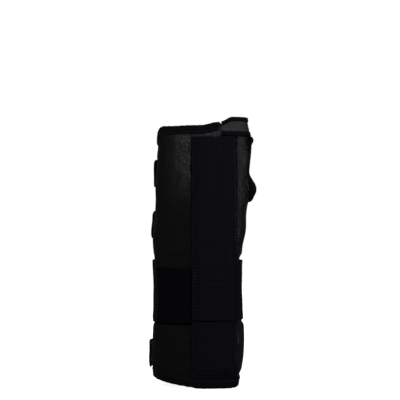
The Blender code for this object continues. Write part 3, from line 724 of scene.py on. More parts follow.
def hook_finish(name, colour, pitch=0.0012):
    """Moulded hook tape: close rows of small stems on a smooth base."""
    finish = Finish(name, Specular_IOR_Level=0.35)
    u, v = finish.metres()
    stem = (abs((u * (math.pi / pitch)).sine()) * abs((v * (math.pi / pitch)).sine())) ** 3.0
    speck = finish.noise(finish.place(), 1500.0, 2.0)
    base = finish.mix(stem, shade(colour, 0.5), shade(colour, 2.4))
    return finish.apply(base, speck * 0.2 + 0.38, stem + speck * 0.1, 0.00060)


def thread_finish(name, colour):
    """Twisted sewing thread."""
    finish = Finish(name, Specular_IOR_Level=0.3)
    u, v = finish.metres()
    twist = abs((u * 5200.0 + v * 900.0).sine())
    worn = finish.noise(finish.place(), 240.0, 2.0)
    base = finish.mix(twist * 0.5 + worn * 0.5, shade(colour, 0.6), shade(colour, 1.5))
    return finish.apply(base, worn * 0.2 + 0.45, twist, 0.00008)


def lining_finish(name, colour):
    """Brushed towelling lining: soft loops with matted patches."""
    finish = Finish(name, Specular_IOR_Level=0.05, Sheen_Weight=0.12, Sheen_Roughness=0.5)
    loop = finish.cells(finish.place(), 760.0)
    matted = finish.noise(finish.place(), 120.0, 3.0, 0.65)
    base = finish.mix(loop * 0.5 + matted * 0.5, shade(colour, 0.5), shade(colour, 1.7))
    return finish.apply(base, matted * 0.1 + 0.84, (1.0 - loop) + matted * 0.5, 0.00045)


def aluminium_finish(name, colour):
    """Rolled aluminium bar: fine lines up its length, a few scratches and dulled patches."""
    finish = Finish(name, Metallic=1.0)
    place = finish.place()
    x, y, z = finish.parts(place)
    lines = finish.noise(finish.vector(x * 2600.0, y * 2600.0, z * 22.0), 1.0, 4.0, 0.6)
    slanted = finish.vector(x * 300.0 + z * 90.0, y * 300.0, z * 18.0)
    scratch = finish.noise(slanted, 1.0, 3.0, 0.8).between(0.66, 0.74)
    dull = finish.noise(place, 55.0, 4.0, 0.6)
    base = finish.mix(lines * 0.5 + dull * 0.5, shade(colour, 0.80), shade(colour, 1.12))
    rough = lines * 0.16 + dull * 0.18 + 0.20 + scratch * 0.15
    return finish.apply(base, rough, lines - scratch * 0.8, 0.00006)


def stay_plastic_finish(name, colour):
    """Extruded plastic stay: faint draw lines, soft speckle and handled edges."""
    finish = Finish(name, Specular_IOR_Level=0.45)
    place = finish.place()
    x, _, z = finish.parts(place)
    lines = finish.noise(finish.vector(x * 1700.0, z * 12.0), 1.0, 3.0)
    speck = finish.noise(place, 700.0, 3.0, 0.6)
    base = finish.mix(lines * 0.4 + speck * 0.6, shade(colour, 0.82), shade(colour, 1.05))
    return finish.apply(base, speck * 0.2 + 0.32, lines + speck * 0.3, 0.00007)


# Properties


def colour_property(name, description, default):
    return FloatVectorProperty(name=name, description=description, default=default, subtype="COLOR", size=3,
                               min=0.0, max=1.0)


class SplintCloth(bpy.types.PropertyGroup):
    """Sizes of the sewn detail."""

    rib_pitch: FloatProperty(name="Rib pitch", description="Distance between the elastic's ribs",
                             default=0.0022, min=0.0008, max=0.006, unit="LENGTH")
    stitch_pitch: FloatProperty(name="Stitch pitch", description="Distance from one stitch to the next",
                                default=0.0032, min=0.002, max=0.008, unit="LENGTH")
    swell: FloatProperty(name="Panel swell", description="How far the foam stands out between its seams",
                         default=0.0011, min=0.0, max=0.003, unit="LENGTH")
    pucker: FloatProperty(name="Pucker", description="Height of the small folds beside a seam",
                          default=0.00045, min=0.0, max=0.001, unit="LENGTH")


class SplintColours(bpy.types.PropertyGroup):
    """Colours of the cloths, tapes and stays."""

    laminate: colour_property("Laminate", "Face of the foam panels", (0.0009, 0.0009, 0.0010))
    web: colour_property("Web strap", "Face of the thumb web strap", (0.014, 0.014, 0.015))
    elastic: colour_property("Elastic", "Pocket and wide strap", (0.0036, 0.0032, 0.0056))
    webbing: colour_property("Webbing", "Woven straps and the wide strap's end", (0.0010, 0.0009, 0.0024))
    binding: colour_property("Binding", "Folded edge tape", (0.0022, 0.0020, 0.0030))
    knit: colour_property("Knit", "Tongue under the dorsal opening", (0.0060, 0.0060, 0.0070))
    lining: colour_property("Lining", "Inside of the sleeve", (0.014, 0.014, 0.016))
    pile: colour_property("Loop pile", "Landing patches for the hooks", (0.0080, 0.0078, 0.0090))
    hook: colour_property("Hook tape", "Hook patches under the straps", (0.012, 0.012, 0.013))
    thread: colour_property("Thread", "Sewing thread", (0.013, 0.013, 0.016))
    aluminium: colour_property("Aluminium", "Palmar stay", (0.66, 0.67, 0.68))
    stay_plastic: colour_property("Stay plastic", "Dorsal stays", (0.62, 0.62, 0.60))


class SplintStage(bpy.types.PropertyGroup):
    """Camera and lights."""

    camera_distance: FloatProperty(name="Camera distance", description="From the camera to the sleeve",
                                   default=1.60, min=0.5, max=10.0, unit="LENGTH")
    camera_height: FloatProperty(name="Camera height", description="Height of the level line of sight",
                                 default=0.187, min=0.0, max=1.0, unit="LENGTH")
    frame_width: FloatProperty(name="Frame width", description="Width of the view at the sleeve's middle",
                               default=0.4045, min=0.1, max=2.0, unit="LENGTH")
    floor: colour_property("Floor", "Floor and backdrop", (0.93, 0.93, 0.93))
    key_power: FloatProperty(name="Key light", description="Power of the main light in watts",
                             default=12.0, min=0.0, max=200.0)
    fill_power: FloatProperty(name="Fill light", description="Power of the light on the thumb side in watts",
                              default=6.5, min=0.0, max=200.0)


MADE = {}


def finish_of(name):
    """The named finish in the chosen colours, made once."""
    if name not in MADE:
        colours = bpy.context.scene.splint_colours
        cloth = bpy.context.scene.splint_cloth
        make, wording, colour, *rest = {
            "laminate": (laminate_finish, "panel_laminate", colours.laminate),
            "web": (laminate_finish, "web_laminate", colours.web, 0.5, 0.3, 0.0),
            "ribs_up": (ribbed_finish, "pocket_elastic", colours.elastic, cloth.rib_pitch, False),
            "ribs_round": (ribbed_finish, "strap_elastic", colours.elastic, cloth.rib_pitch, True),
            "webbing": (webbing_finish, "strap_webbing", colours.webbing),
            "binding": (twill_finish, "edge_tape", colours.binding),
            "knit": (knit_finish, "tongue_knit", colours.knit),
            "lining": (lining_finish, "towelling_lining", colours.lining),
            "pile": (pile_finish, "loop_pile", colours.pile),
            "hook": (hook_finish, "hook_tape", colours.hook),
            "thread": (thread_finish, "sewing_thread", colours.thread),
            "aluminium": (aluminium_finish, "rolled_aluminium", colours.aluminium),
            "stay_plastic": (stay_plastic_finish, "extruded_plastic", colours.stay_plastic),
        }[name]
        MADE[name] = make(wording, tuple(colour), *rest)
    return MADE[name]


def finishes(*names):
    return [finish_of(name) for name in names]


def stand_for(piece, node, body):
    """Let a piece stand for a CAD node and move with its body."""
    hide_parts(node)
    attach(piece, body)
    return piece


def hem_inside(girth):
    """Lower edge of the panels, inside the hem's binding."""
    return hem_z(girth) + TAPE + SLACK


def top_inside(girth):
    """Upper edge of the panels: inside the finger edge's binding, and level with it by the web strap."""
    from_root = (girth - WEB_ROOT_GIRTH + 0.5) % 1.0 - 0.5
    return top_z(girth) - (TAPE + SLACK) * (1.0 - bell(from_root, 0.0065))


def under_strap(z, low, high, ease=0.007):
    """1 where a strap presses from low to high, easing to 0 beyond both its edges."""
    return smooth((z - low) / ease + 1.0) * smooth((high - z) / ease + 1.0)


def under_closures(z):
    """1 under the three closure straps, easing to 0 between them."""
    return np.clip(sum(under_strap(z, low, low + CLOSURE_WIDTH, 0.004) for low, _ in CLOSURES.values()), 0, 1)


def wavy(height, sizes, seed):
    """A relief of plain waves over the length across and the height."""
    return lambda a, z, u, v: height * waves(a, z, sizes, seed)


def girths_between(face, first, last):
    """Girths from one x to another on a face of the sleeve, as u runs from 0 to 1."""
    return lambda u, z: face(first, z) * (1 - u) + face(last, z) * u


def lay_patch(strap, kind, moving, girths, heights, size, step, end=""):
    """A loop patch on the sleeve, or the hook patch above it that moves with its strap."""
    depth, finish, body = {"loop": (GAP, "pile", "sleeve"), "hook": (2 * GAP + HOOK, "hook", moving)}[kind]
    patch = lay_cloth(f"{strap}_{kind}_tape{end}", girths, *map(level, heights), size, depth, HOOK,
                      finishes(finish), step=step)
    stand_for(patch, f"{strap}_{kind}_patch{end}", body)


def panel_relief(cloth, a, z, u, v, seed, width, swell):
    """A panel's swell, folds, drapes and tucks, easing to none inside the bindings.

    The swell is a sine of u times a sine of v. The folds are waves that die away from both seams, the drapes
    are longer waves that are highest at the wrist, and the tucks are bells beside the wide strap's edges.
    """
    free = 1.0 - 0.95 * under_strap(z, *STRAP_Z)
    crown = swell * np.sin(math.pi * np.clip(u, 0, 1)) ** 0.6 * np.sin(math.pi * np.clip(v, 0, 1)) ** 0.35
    beside = np.exp(-np.clip(np.minimum(u, 1 - u), 0, 1) * width / 0.006)
    folds = cloth.pucker * beside * waves(z, a * 0.35, (0.0105, 0.0072, 0.0161), seed)
    drapes = 0.00055 * waves(z * 1.4 + a * 0.25, a * 0.5, (0.031, 0.019, 0.047), seed + 5)
    drapes = drapes * (0.35 + 0.65 * bell(z - WRIST_Z, 0.045))
    tucks = -0.0006 * (bell(z - STRAP_Z[1] - 0.003, 0.003) + bell(z - STRAP_Z[0] + 0.003, 0.003))
    bound = smooth((z - 0.012) / 0.006) * smooth((0.2390 - z) / 0.008)
    return ((crown + folds + drapes) * free + tucks) * bound


# Pieces


class SPLINT_OT_panels(bpy.types.Operator):
    """Three foam laminate panels, swollen between their seams and puckered beside them"""
    bl_idname = "splint.panels"
    bl_label = "Sleeve panels"

    def execute(self, context):
        cloth = context.scene.splint_cloth
        faces = finishes("laminate", "lining")
        width = 0.083

        def ulnar(u, z):
            start, end = SLEEVE.dorsal(OPENING_X[0], z) + 0.004, 1.0 + SLEEVE.palmar(POCKET_X[0] - SEAM, z)
            return start * (1 - u) + end * u

        def ulnar_relief(a, z, u, v):
            """The panel's relief, flat under the closures and curled up at its upper seam."""
            back = 1.0 - smooth((a - 0.020) / 0.008)
            curl = 0.0019 * np.exp(-(1.0 - u) * width / 0.0095) * smooth((z - 0.160) / 0.035)
            curl = curl * smooth((0.2385 - z) / 0.005)
            relief = panel_relief(cloth, a, z, u, v, 3, width, cloth.swell)
            return relief * (1.0 - back * under_closures(z)) + curl

        middle = girths_between(SLEEVE.palmar, *POCKET_X)
        for name, girths, wide, relief in (("ulnar_panel", ulnar, width, ulnar_relief),
                                           ("palmar_panel", middle, 0.044, None)):
            piece = lay_cloth(name + "_foam", girths, hem_inside, top_inside, (wide, ROUGH_TALL), -WALL, WALL,
                              faces, step=0.0014, relief=relief)
            stand_for(piece, name, "sleeve")
        self.radial(faces, cloth)
        return {"FINISHED"}

    def radial(self, faces, cloth):
        """The thumb side's panel: the same layer, drawn aside round the thumb opening.

        A place inside the opening's ellipse moves straight out from the ellipse's centre onto its rim, so
        that the layer stays one grid with a hole where its faces are left out.
        """
        def girths(u, z):
            start, end = SLEEVE.palmar(POCKET_X[1] + SEAM, z), SLEEVE.dorsal(OPENING_X[1], z) - 0.004
            return start * (1 - u) + end * u

        width, step = 0.078, 0.0013
        u, v = np.meshgrid(spread(width, step), spread(ROUGH_TALL, step), indexing="ij")
        bottom, top = ends_of(u, girths, hem_inside, top_inside)
        z = bottom + (top - bottom) * v
        girth = girths(u, z)
        length = SLEEVE.round_length(z)
        wide = (girths(1.0, z) - girths(0.0, z)) * length
        a = u * wide
        point = SLEEVE.point(girth, z)
        thumb_side = smooth((point[..., 0] - 0.008) / 0.004)
        near = thumb_side > 0.5
        dy, dz = point[..., 1] - THUMB_Y, z - THUMB_Z
        turn = np.arctan2(dz / THUMB_HALF_Z, dy / THUMB_HALF_Y)
        radius = thumb_radius(turn) * 0.25
        reach = np.hypot(dy / (THUMB_HALF_Y + radius), dz / (THUMB_HALF_Z + radius))
        beyond = np.clip(reach - 1.0, 0.0, None)
        grow = np.where(near, np.maximum(1.0 / np.maximum(reach, 1e-6), 1.0), 1.0)
        slope = SLEEVE.read(SLEEVE.tangent[1], z, girth * SLEEVE.x.shape[1], True)
        drawn_girth = girth + dy * (grow - 1.0) / length / np.maximum(slope, 0.35)
        drawn_z = z + dz * (grow - 1.0)
        full = edge_round(np.minimum(u, 1 - u) * wide, np.minimum(v, 1 - v) * (top - bottom), WALL * 0.7)
        raised = panel_relief(cloth, a, z, u, v, 8, width, 0.0030) * full
        raised = raised * (1.0 - 0.7 * np.exp(-beyond / 0.25) * near)
        raised = raised * (1.0 - smooth((a - 0.050) / 0.008) * under_closures(z))
        middle = thumb_flare(turn) * 0.9 * np.exp(-beyond / 0.16) * thumb_side - WALL / 2
        outer = SLEEVE.point(drawn_girth, drawn_z, middle + WALL / 2 * full + raised)
        inner = SLEEVE.point(drawn_girth, drawn_z, middle - WALL / 2 * full)
        piece = add_shell("radial_panel_foam", outer, inner, np.stack([a, z], axis=-1), faces)
        piece = open_hole(piece, near & (reach < 1.0))
        stand_for(piece, "radial_panel", "sleeve")


def open_hole(piece, inside):
    """Leave out the faces whose grid corners all lie inside, on both faces of a shell, and wall the cut."""
    columns, rows = inside.shape
    hole = (inside[:-1, :-1] & inside[1:, :-1] & inside[1:, 1:] & inside[:-1, 1:])
    count = columns * rows
    mesh = piece.data
    total = len(mesh.polygons)
    quads = np.zeros(total * 4, int)
    mesh.polygons.foreach_get("vertices", quads)
    quads = quads.reshape(-1, 4)
    slots = np.zeros(total, int)
    mesh.polygons.foreach_get("material_index", slots)
    points = np.zeros(len(mesh.vertices) * 3)
    mesh.vertices.foreach_get("co", points)
    lengths = np.zeros(total * 8)
    mesh.uv_layers[0].data.foreach_get("uv", lengths)
    lengths_of = np.zeros((len(mesh.vertices), 2))
    lengths_of[quads.ravel()] = lengths.reshape(-1, 2)
    cells = (columns - 1) * (rows - 1)
    gone = np.concatenate([hole.ravel(), hole.ravel(), np.zeros(total - 2 * cells, bool)])
    padded = np.pad(hole, 1)
    number = np.arange(count).reshape(columns, rows)
    sides = []
    i, j = np.nonzero(hole)
    for di, dj, a, b in ((-1, 0, (0, 0), (0, 1)), (1, 0, (1, 1), (1, 0)),
                         (0, -1, (1, 0), (0, 0)), (0, 1, (0, 1), (1, 1))):
        open_side = ~padded[i + 1 + di, j + 1 + dj]
        p = number[i[open_side] + a[0], j[open_side] + a[1]]
        q = number[i[open_side] + b[0], j[open_side] + b[1]]
        sides.append(np.stack([p, q, q + count, p + count], axis=1))
    sides = np.concatenate(sides)
    quads = np.concatenate([quads[~gone], sides])
    slots = np.concatenate([slots[~gone], np.zeros(len(sides), int)])
    used, index = np.unique(quads, return_inverse=True)
    materials = list(mesh.materials)
    name = piece.name
    bpy.data.objects.remove(piece)
    bpy.data.meshes.remove(mesh)
    return add_piece(name, points.reshape(-1, 3)[used] + MIDDLE, index.reshape(quads.shape), lengths_of[used],
                     materials, slots)


def thumb_radius(turn):
    """Radius of the thumb rim's roll: thin above, thick below the thumb."""
    low = smooth((-np.sin(turn) - 0.1) / 0.6)
    return THUMB_RIM[0] + (THUMB_RIM[1] - THUMB_RIM[0]) * low


def thumb_flare(turn):
    """How far the thumb rim stands off the sleeve: most at its sides below, a little above, and in front."""
    down = -np.sin(turn)
    flare = 0.0056 * smooth((down - 0.1) / 0.6) - 0.0024 * smooth((down - 0.75) / 0.25)
    return flare + 0.0028 * smooth((-down - 0.75) / 0.25) + 0.0014 * smooth((0.4 - np.cos(turn)) / 0.8)


def thumb_centre(turn):
    """Centre line of the thumb rim: an ellipse in y and z, carried on the sleeve's thumb side and flared."""
    y = THUMB_Y + THUMB_HALF_Y * np.cos(turn)
    z = THUMB_Z + THUMB_HALF_Z * np.sin(turn)
    girth = np.linspace(0.085, 0.33, 246)
    at = SLEEVE.point(girth[None], z[:, None])
    x = np.array([np.interp(yy, row[:, 1], row[:, 0]) for yy, row in zip(y, at)])
    return np.stack([x - WALL / 2 + thumb_flare(turn), y, z], axis=-1)


class SPLINT_OT_thumb_rim(bpy.types.Operator):
    """Rolled, padded binding round the thumb opening, gathered into small folds"""
    bl_idname = "splint.thumb_rim"
    bl_label = "Thumb rim"

    def execute(self, context):
        turn = np.linspace(0, 2 * math.pi, 241)[:-1]
        centre, radius = thumb_centre(turn), thumb_radius(turn) * (1.16 + 0.20 * smooth(np.sin(turn)))
        centre[:, 2] += 0.0008 * smooth(np.sin(turn))
        out = np.stack([0 * turn, np.cos(turn) / THUMB_HALF_Y, np.sin(turn) / THUMB_HALF_Z], axis=-1)
        out /= np.linalg.norm(out, axis=1, keepdims=True)
        side = np.array([1.0, 0.0, 0.0])
        round_ = np.linspace(0, 2 * math.pi, 41)[:-1]
        gathers = 34
        gather = 0.05 * np.sin(turn[:, None] * gathers + 2.0 * np.sin(round_)[None]) * (
            0.5 + 0.5 * np.sin(turn * 3 + 1.0)[:, None])
        seam = -0.13 * bell(np.cos(round_ - 2.5) - 1.0, 0.03)[None]
        r = radius[:, None] * (0.985 + gather * 0.6 + seam)
        ring = centre[:, None] + r[..., None] * (np.cos(round_)[None, :, None] * out[:, None]
                                                 + np.sin(round_)[None, :, None] * side)
        quads = grid_faces(*ring.shape[:2], ring=True, tube=True)
        along = turn[:, None] / (2 * math.pi) * RIM_ROUND
        lengths = np.stack(np.broadcast_arrays(along, radius[:, None] * round_), axis=-1)
        piece = add_piece("thumb_opening_roll", ring.reshape(-1, 3), quads, lengths.reshape(-1, 2),
                          finishes("binding"))
        stand_for(piece, "thumb_opening_binding", "sleeve")
        return {"FINISHED"}


class SPLINT_OT_bindings(bpy.types.Operator):
    """Folded tapes over the finger edge, the hem and both edges of the dorsal opening"""
    bl_idname = "splint.bindings"
    bl_label = "Edge bindings"

    def execute(self, context):
        pitch = context.scene.splint_cloth.stitch_pitch
        tape = finishes("binding")
        ulnar, radial = (SLEEVE.dorsal(x, AT_TOP) for x in OPENING_X)
        low_ulnar, low_radial = (SLEEVE.dorsal(x, 0.0) for x in OPENING_X)
        web_root = 1.0 + SLEEVE.palmar(WEB_ROOT_X - 0.003, AT_TOP)
        rows = (
            ("distal_binding", ulnar + 0.001, web_root, top_z, -1, TOP_LEG, 21),
            ("distal_binding_radial", SLEEVE.dorsal(0.030, AT_TOP), radial - 0.001, top_z, -1, TOP_LEG, 22),
            ("proximal_binding", low_ulnar + 0.001, 1.0 + low_radial - 0.001, hem_z, 1, HEM_LEG, 23),
        )
        for name, start, end, edge, side, leg, seed in rows:
            girths = start + (end - start) * spread((end - start) * ROUGH_ROUND, 0.0008)
            piece = fold_tape(name + "_tape", girths, edge(girths),
                              lambda g, z, r, side=side: (g + 0 * r, z + side * r), leg, pitch, tape, seed)
            stand_for(piece, name, "sleeve")
        for name, x, side, seed in (("ulnar", OPENING_X[0], 1, 24), ("radial", OPENING_X[1], -1, 25)):
            low, high = HEM_LEG + SLACK, float(top_z(np.array(0.5))) - TOP_LEG - SLACK
            z = low + (high - low) * spread(high - low, 0.0009)
            piece = fold_tape(
                f"opening_binding_{name}_tape", SLEEVE.dorsal(x, z), z,
                lambda g, z, r, side=side: (g + side * (r - 0.0001) / SLEEVE.round_length(z), z + 0 * r),
                OPENING_LEG, pitch, tape, seed)
            stand_for(piece, f"opening_binding_{name}", "sleeve")
        return {"FINISHED"}


class SPLINT_OT_tongue(bpy.types.Operator):
    """Stretch-knit tongue that closes the dorsal opening from inside"""
    bl_idname = "splint.tongue"
    bl_label = "Dorsal tongue"

    def execute(self, context):
        depth = -(WALL + TAPE_GAP + TAPE + GAP + KNIT)
        girths = girths_between(SLEEVE.dorsal, *TONGUE_X)
        piece = lay_cloth("dorsal_tongue_knit", girths, *map(level, TONGUE_Z), (0.043, 0.228), depth,
                          KNIT, finishes("knit"), step=0.0022,
                          relief=lambda a, z, u, v: 0.00012 * waves(z, a * 0.4, (0.020, 0.013), 31))
        stand_for(piece, "dorsal_tongue", "sleeve")
        return {"FINISHED"}


class SPLINT_OT_palmar_pocket(bpy.types.Operator):
    """Ribbed pocket cover down the palm, sewn at its sides and foot and open at its finger end"""
    bl_idname = "splint.palmar_pocket"
    bl_label = "Palmar stay pocket"

    def execute(self, context):
        pitch = context.scene.splint_cloth.rib_pitch

        inset = 0.0002
        wide = POCKET_X[1] - POCKET_X[0] - 2 * inset

        def girths(u, z):
            return SLEEVE.palmar(POCKET_X[0] + inset + wide * u, z)

        def relief(a, z, u, v):
            """Rounded ribs up the pocket, drawn down along both rows of side stitches."""
            rib = 0.00016 * np.abs(np.sin(math.pi * a / pitch))
            from_side = np.minimum(u, 1 - u) * wide
            sewn = -0.0003 * bell(from_side - 0.0016, 0.0006)
            free = 1.0 - under_strap(z, STRAP_Z[0] - 0.001, STRAP_Z[1] + 0.001, 0.003)
            mouth = 0.0002 * bell(z - POCKET_TOP_Z + 0.002, 0.0016)
            return rib + sewn + (0.00022 * waves(z, a * 0.5, (0.033, 0.021, 0.014), 41) + mouth) * free

        piece = lay_cloth("palmar_stay_pocket_cover", girths, lambda g: hem_z(g) + HEM_LEG + SLACK,
                          level(POCKET_TOP_Z), (wide, 0.235), pocket_depth, COVER, finishes("ribs_up"),
                          step=(0.00028, 0.0024), relief=relief)
        stand_for(piece, "palmar_stay_pocket", "sleeve")
        return {"FINISHED"}


class SPLINT_OT_dorsal_pockets(bpy.types.Operator):
    """Two narrow sewn sleeves for the dorsal stays, open at their finger ends"""
    bl_idname = "splint.dorsal_pockets"
    bl_label = "Dorsal stay pockets"

    def execute(self, context):
        for side, x in DORSAL_STAY_X.items():
            foot, head = (SLEEVE.point(SLEEVE.dorsal(x, z), z) for z in DORSAL_POCKET_Z)
            length = np.linalg.norm(head - foot)
            up = (head - foot) / length
            girth = SLEEVE.dorsal(x, 0.13) + np.array([-0.004, 0.004])
            across = np.diff(SLEEVE.point(girth, 0.13), axis=0)[0] * -1
            across[2] = 0.0
            across /= np.linalg.norm(across)
            out = np.cross(up, across)
            out /= np.linalg.norm(out)
            w, s = np.meshgrid(spread(2 * DORSAL_POCKET_HALF, 0.0004), spread(length, 0.0025), indexing="ij")
            w, s = (w * 2 - 1) * DORSAL_POCKET_HALF, s * length
            from_side = DORSAL_POCKET_HALF - np.abs(w)
            arch = smooth((from_side - 0.0001) / 0.0021)
            shut = smooth(s / 0.004)
            rib = 0.00014 * np.abs(np.sin(math.pi * w / 0.0016))
            ease = 0.00012 * waves(s, w, (0.018, 0.011), 51) * arch
            top = 0.0019 + (DORSAL_POCKET_TOP - 0.0023) * arch * (0.55 + 0.45 * shut) + rib + ease
            low = np.where(arch * shut > 0.001, np.maximum(top - 0.0010 - rib, 0.0012), 0.0012)
            full = edge_round(from_side, np.minimum(s, length - s), 0.0005)
            middle = (top + low) / 2
            faces = [foot + up * s[..., None] + across * w[..., None]
                     + out * (middle + sign * (top - low) / 2 * full)[..., None] for sign in (1, -1)]
            piece = add_shell(f"dorsal_pocket_{side}_sleeve", faces[0], faces[1], np.stack([w, s], axis=-1),
                              finishes("ribs_up"))
            stand_for(piece, f"dorsal_pocket_{side}", "sleeve")
        return {"FINISHED"}


class SPLINT_OT_stays(bpy.types.Operator):
    """Finishes for the bent aluminium bar and the two plastic stays"""
    bl_idname = "splint.stays"
    bl_label = "Stays"

    def execute(self, context):
        for node, name in (("palmar_stay", "aluminium"), ("dorsal_stay_ulnar", "stay_plastic"),
                           ("dorsal_stay_radial", "stay_plastic")):
            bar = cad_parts[node]
            for k in range(len(bar.material_slots)):
                bar.material_slots[k].material = finish_of(name)
        return {"FINISHED"}


class SPLINT_OT_forearm_strap(bpy.types.Operator):
    """Wide ribbed elastic strap, its free end, and the hook and loop that hold it"""
    bl_idname = "splint.forearm_strap"
    bl_label = "Forearm strap"

    def execute(self, context):
        pitch = context.scene.splint_cloth.rib_pitch

        def girths(u, z):
            start = SLEEVE.palmar(POCKET_X[0] + 0.0002, z)
            return start + (STRAP_ROOT - start) * u

        def relief(a, z, u, v):
            """Ribs round the forearm, slight waves at both edges, and a dip at the sewn root."""
            rib = 0.00016 * np.abs(np.sin(math.pi * z / pitch))
            edge = np.minimum(z - STRAP_Z[0], STRAP_Z[1] - z)
            flutter = 0.00030 * np.exp(-edge / 0.006) * (1 + waves(a, z, (0.026, 0.015), 61)) * 0.5
            return rib + flutter + 0.00012 * waves(a, z, (0.038, 0.024), 62)

        strap = lay_cloth("forearm_strap_elastic", girths, *map(level, STRAP_Z), (0.180, 0.059), strap_depth,
                          WEBBING, finishes("ribs_round"), step=(0.0012, 0.00037), relief=relief)
        stand_for(strap, "forearm_strap", "sleeve")

        def tab_span(u, z):
            start = STRAP_ROOT + 0.003
            return start + (1.0 + SLEEVE.palmar(POCKET_X[0] - 0.0012, z) - start) * u

        tab = lay_cloth("forearm_strap_free_end", tab_span, *map(level, STRAP_TAB_Z), (0.058, 0.055),
                        tab_depth, WEBBING, finishes("webbing"), step=0.0010,
                        relief=wavy(0.00020, (0.021, 0.033), 63))
        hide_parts("forearm_strap_tab")
        root = SLEEVE.point(STRAP_ROOT + 0.002, 0.094) - MIDDLE
        clear = SLEEVE.point(STRAP_ROOT + 0.030, 0.094) - MIDDLE
        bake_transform(tab)
        for kind, (xs, margin) in FOREARM_PATCHES.items():
            def span(u, z, xs=xs):
                return 1.0 + SLEEVE.palmar(xs[0] + (xs[1] - xs[0]) * u, z)
            heights = STRAP_TAB_Z[0] + margin, STRAP_TAB_Z[1] - margin
            lay_patch("forearm", kind, "forearm_strap_end", span, heights, (0.026, 0.048), 0.0016)
        return {"FINISHED"}


class SPLINT_OT_closure_straps(bpy.types.Operator):
    """Three woven straps across the dorsal opening, each with its hook and its loop patch"""
    bl_idname = "splint.closure_straps"
    bl_label = "Closure straps"

    def execute(self, context):
        for index, (name, (low, end)) in enumerate(CLOSURES.items()):
            high = low + CLOSURE_WIDTH

            def girths(u, z, end=end):
                start = SLEEVE.dorsal(CLOSURE_ROOT_X, z)
                return start + (end - start) * u

            strap = lay_cloth(f"closure_strap_{name}_webbing", girths, level(low), level(high),
                              (0.072, CLOSURE_WIDTH), closure_depth, WEBBING, finishes("webbing"),
                              step=0.0010, corner=0.007, relief=wavy(0.00016, (0.027, 0.018), 70 + index))
            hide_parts(f"closure_strap_{name}")
            z = low + CLOSURE_WIDTH / 2
            root = SLEEVE.point(SLEEVE.dorsal(0.0195, z), z, 0.001) - MIDDLE
            clear = SLEEVE.point(SLEEVE.dorsal(0.0120, z), z, 0.001) - MIDDLE
            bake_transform(strap)
            for kind, inset in (("loop", 0.002), ("hook", 0.003)):
                def span(u, z, inset=inset, end=end):
                    start = SLEEVE.dorsal(-0.0372 - inset * 0.3, z)
                    return start + (end - inset * 0.8 - start) * u
                lay_patch("closure", kind, f"{name}_closure", span, (low + inset, high - inset),
                          (0.014, 0.022), 0.0014, "_" + name)
        return {"FINISHED"}


class SPLINT_OT_web_strap(bpy.types.Operator):
    """Strap over the thumb web with both edges bound, its hook and its loop patch"""
    bl_idname = "splint.web_strap"
    bl_label = "Thumb web strap"

    def execute(self, context):
        def relief(a, z, u, v):
            """Foam crowned between the two bound edges."""
            return 0.00030 * np.sin(math.pi * np.clip(v, 0, 1)) + 0.00010 * waves(a, z, (0.017, 0.011), 81)

        size = (WEB_LONG, WEB_Z[1] - WEB_Z[0])
        strap = lay_cloth("web_strap_foam", web_span, web_low, web_high, size, web_depth, WEB_FOAM,
                          finishes("web", "lining"), step=(0.0012, 0.0010), relief=relief)
        stand_for(strap, "web_strap", "web_strap")
        out, leg = WEB_FOAM + SLACK, WEB_LEG
        section = np.array([
            (out + TAPE, 0.0003), (out + TAPE, 0.0022), (out + TAPE - 0.0001, leg - 0.0003),
            (out + TAPE / 2, leg), (out, leg - 0.0003), (out, TAPE + 0.0003), (out - 0.0004, TAPE),
            (0.0004, TAPE), (0.0001, 0.0006), (0.0003, 0.0001), (0.0008, 0.0), (out, 0.0)])
        u = spread(WEB_LONG, 0.0010)
        low, high = ends_of(u, web_span, web_low, web_high)
        for name, edge, side in (("web_binding_top", high, -1), ("web_binding_low", low, 1)):
            z = edge[:, None] - side * (TAPE + SLACK) + side * section[None, :, 1]
            girth = web_span(u[:, None] + 0 * z, z)
            depth = web_depth(SLEEVE.point(girth, z)) + section[None, :, 0]
            along = u * WEB_LONG
            depth = depth + 0.00010 * waves(along[:, None], section[None, :, 0], (0.007, 0.0045), 82)
            ring = SLEEVE.point(girth, z, depth)
            centre = ring.mean(axis=1, keepdims=True)
            ring = np.concatenate([centre[:1] + (ring[:1] - centre[:1]) * 0.02, ring,
                                   centre[-1:] + (ring[-1:] - centre[-1:]) * 0.02])
            count, rows = ring.shape[:2]
            ends = [[base + k for k in (0, m, m + 1, m + 2)] for base in (0, (count - 1) * rows)
                    for m in range(1, rows - 2, 2)]
            quads = np.concatenate([grid_faces(count, rows, tube=True), ends])
            lengths = np.stack(np.broadcast_arrays(np.pad(along, 1, mode="edge")[:, None],
                                                   np.arange(rows)[None] * 0.0008), axis=-1)
            piece = add_piece(name + "_tape", ring.reshape(-1, 3), quads, lengths.reshape(-1, 2),
                              finishes("binding"))
            stand_for(piece, name, "web_strap")
        for kind, inset in (("loop", 0.0), ("hook", 0.0005)):
            span = girths_between(SLEEVE.dorsal, WEB_PATCH_X[0], WEB_PATCH_X[1] + inset)
            lay_patch("web", kind, "web_strap", span, (WEB_PATCH_Z[0] + inset, WEB_PATCH_Z[1] - inset),
                      (0.010, 0.009), 0.0012)
        return {"FINISHED"}


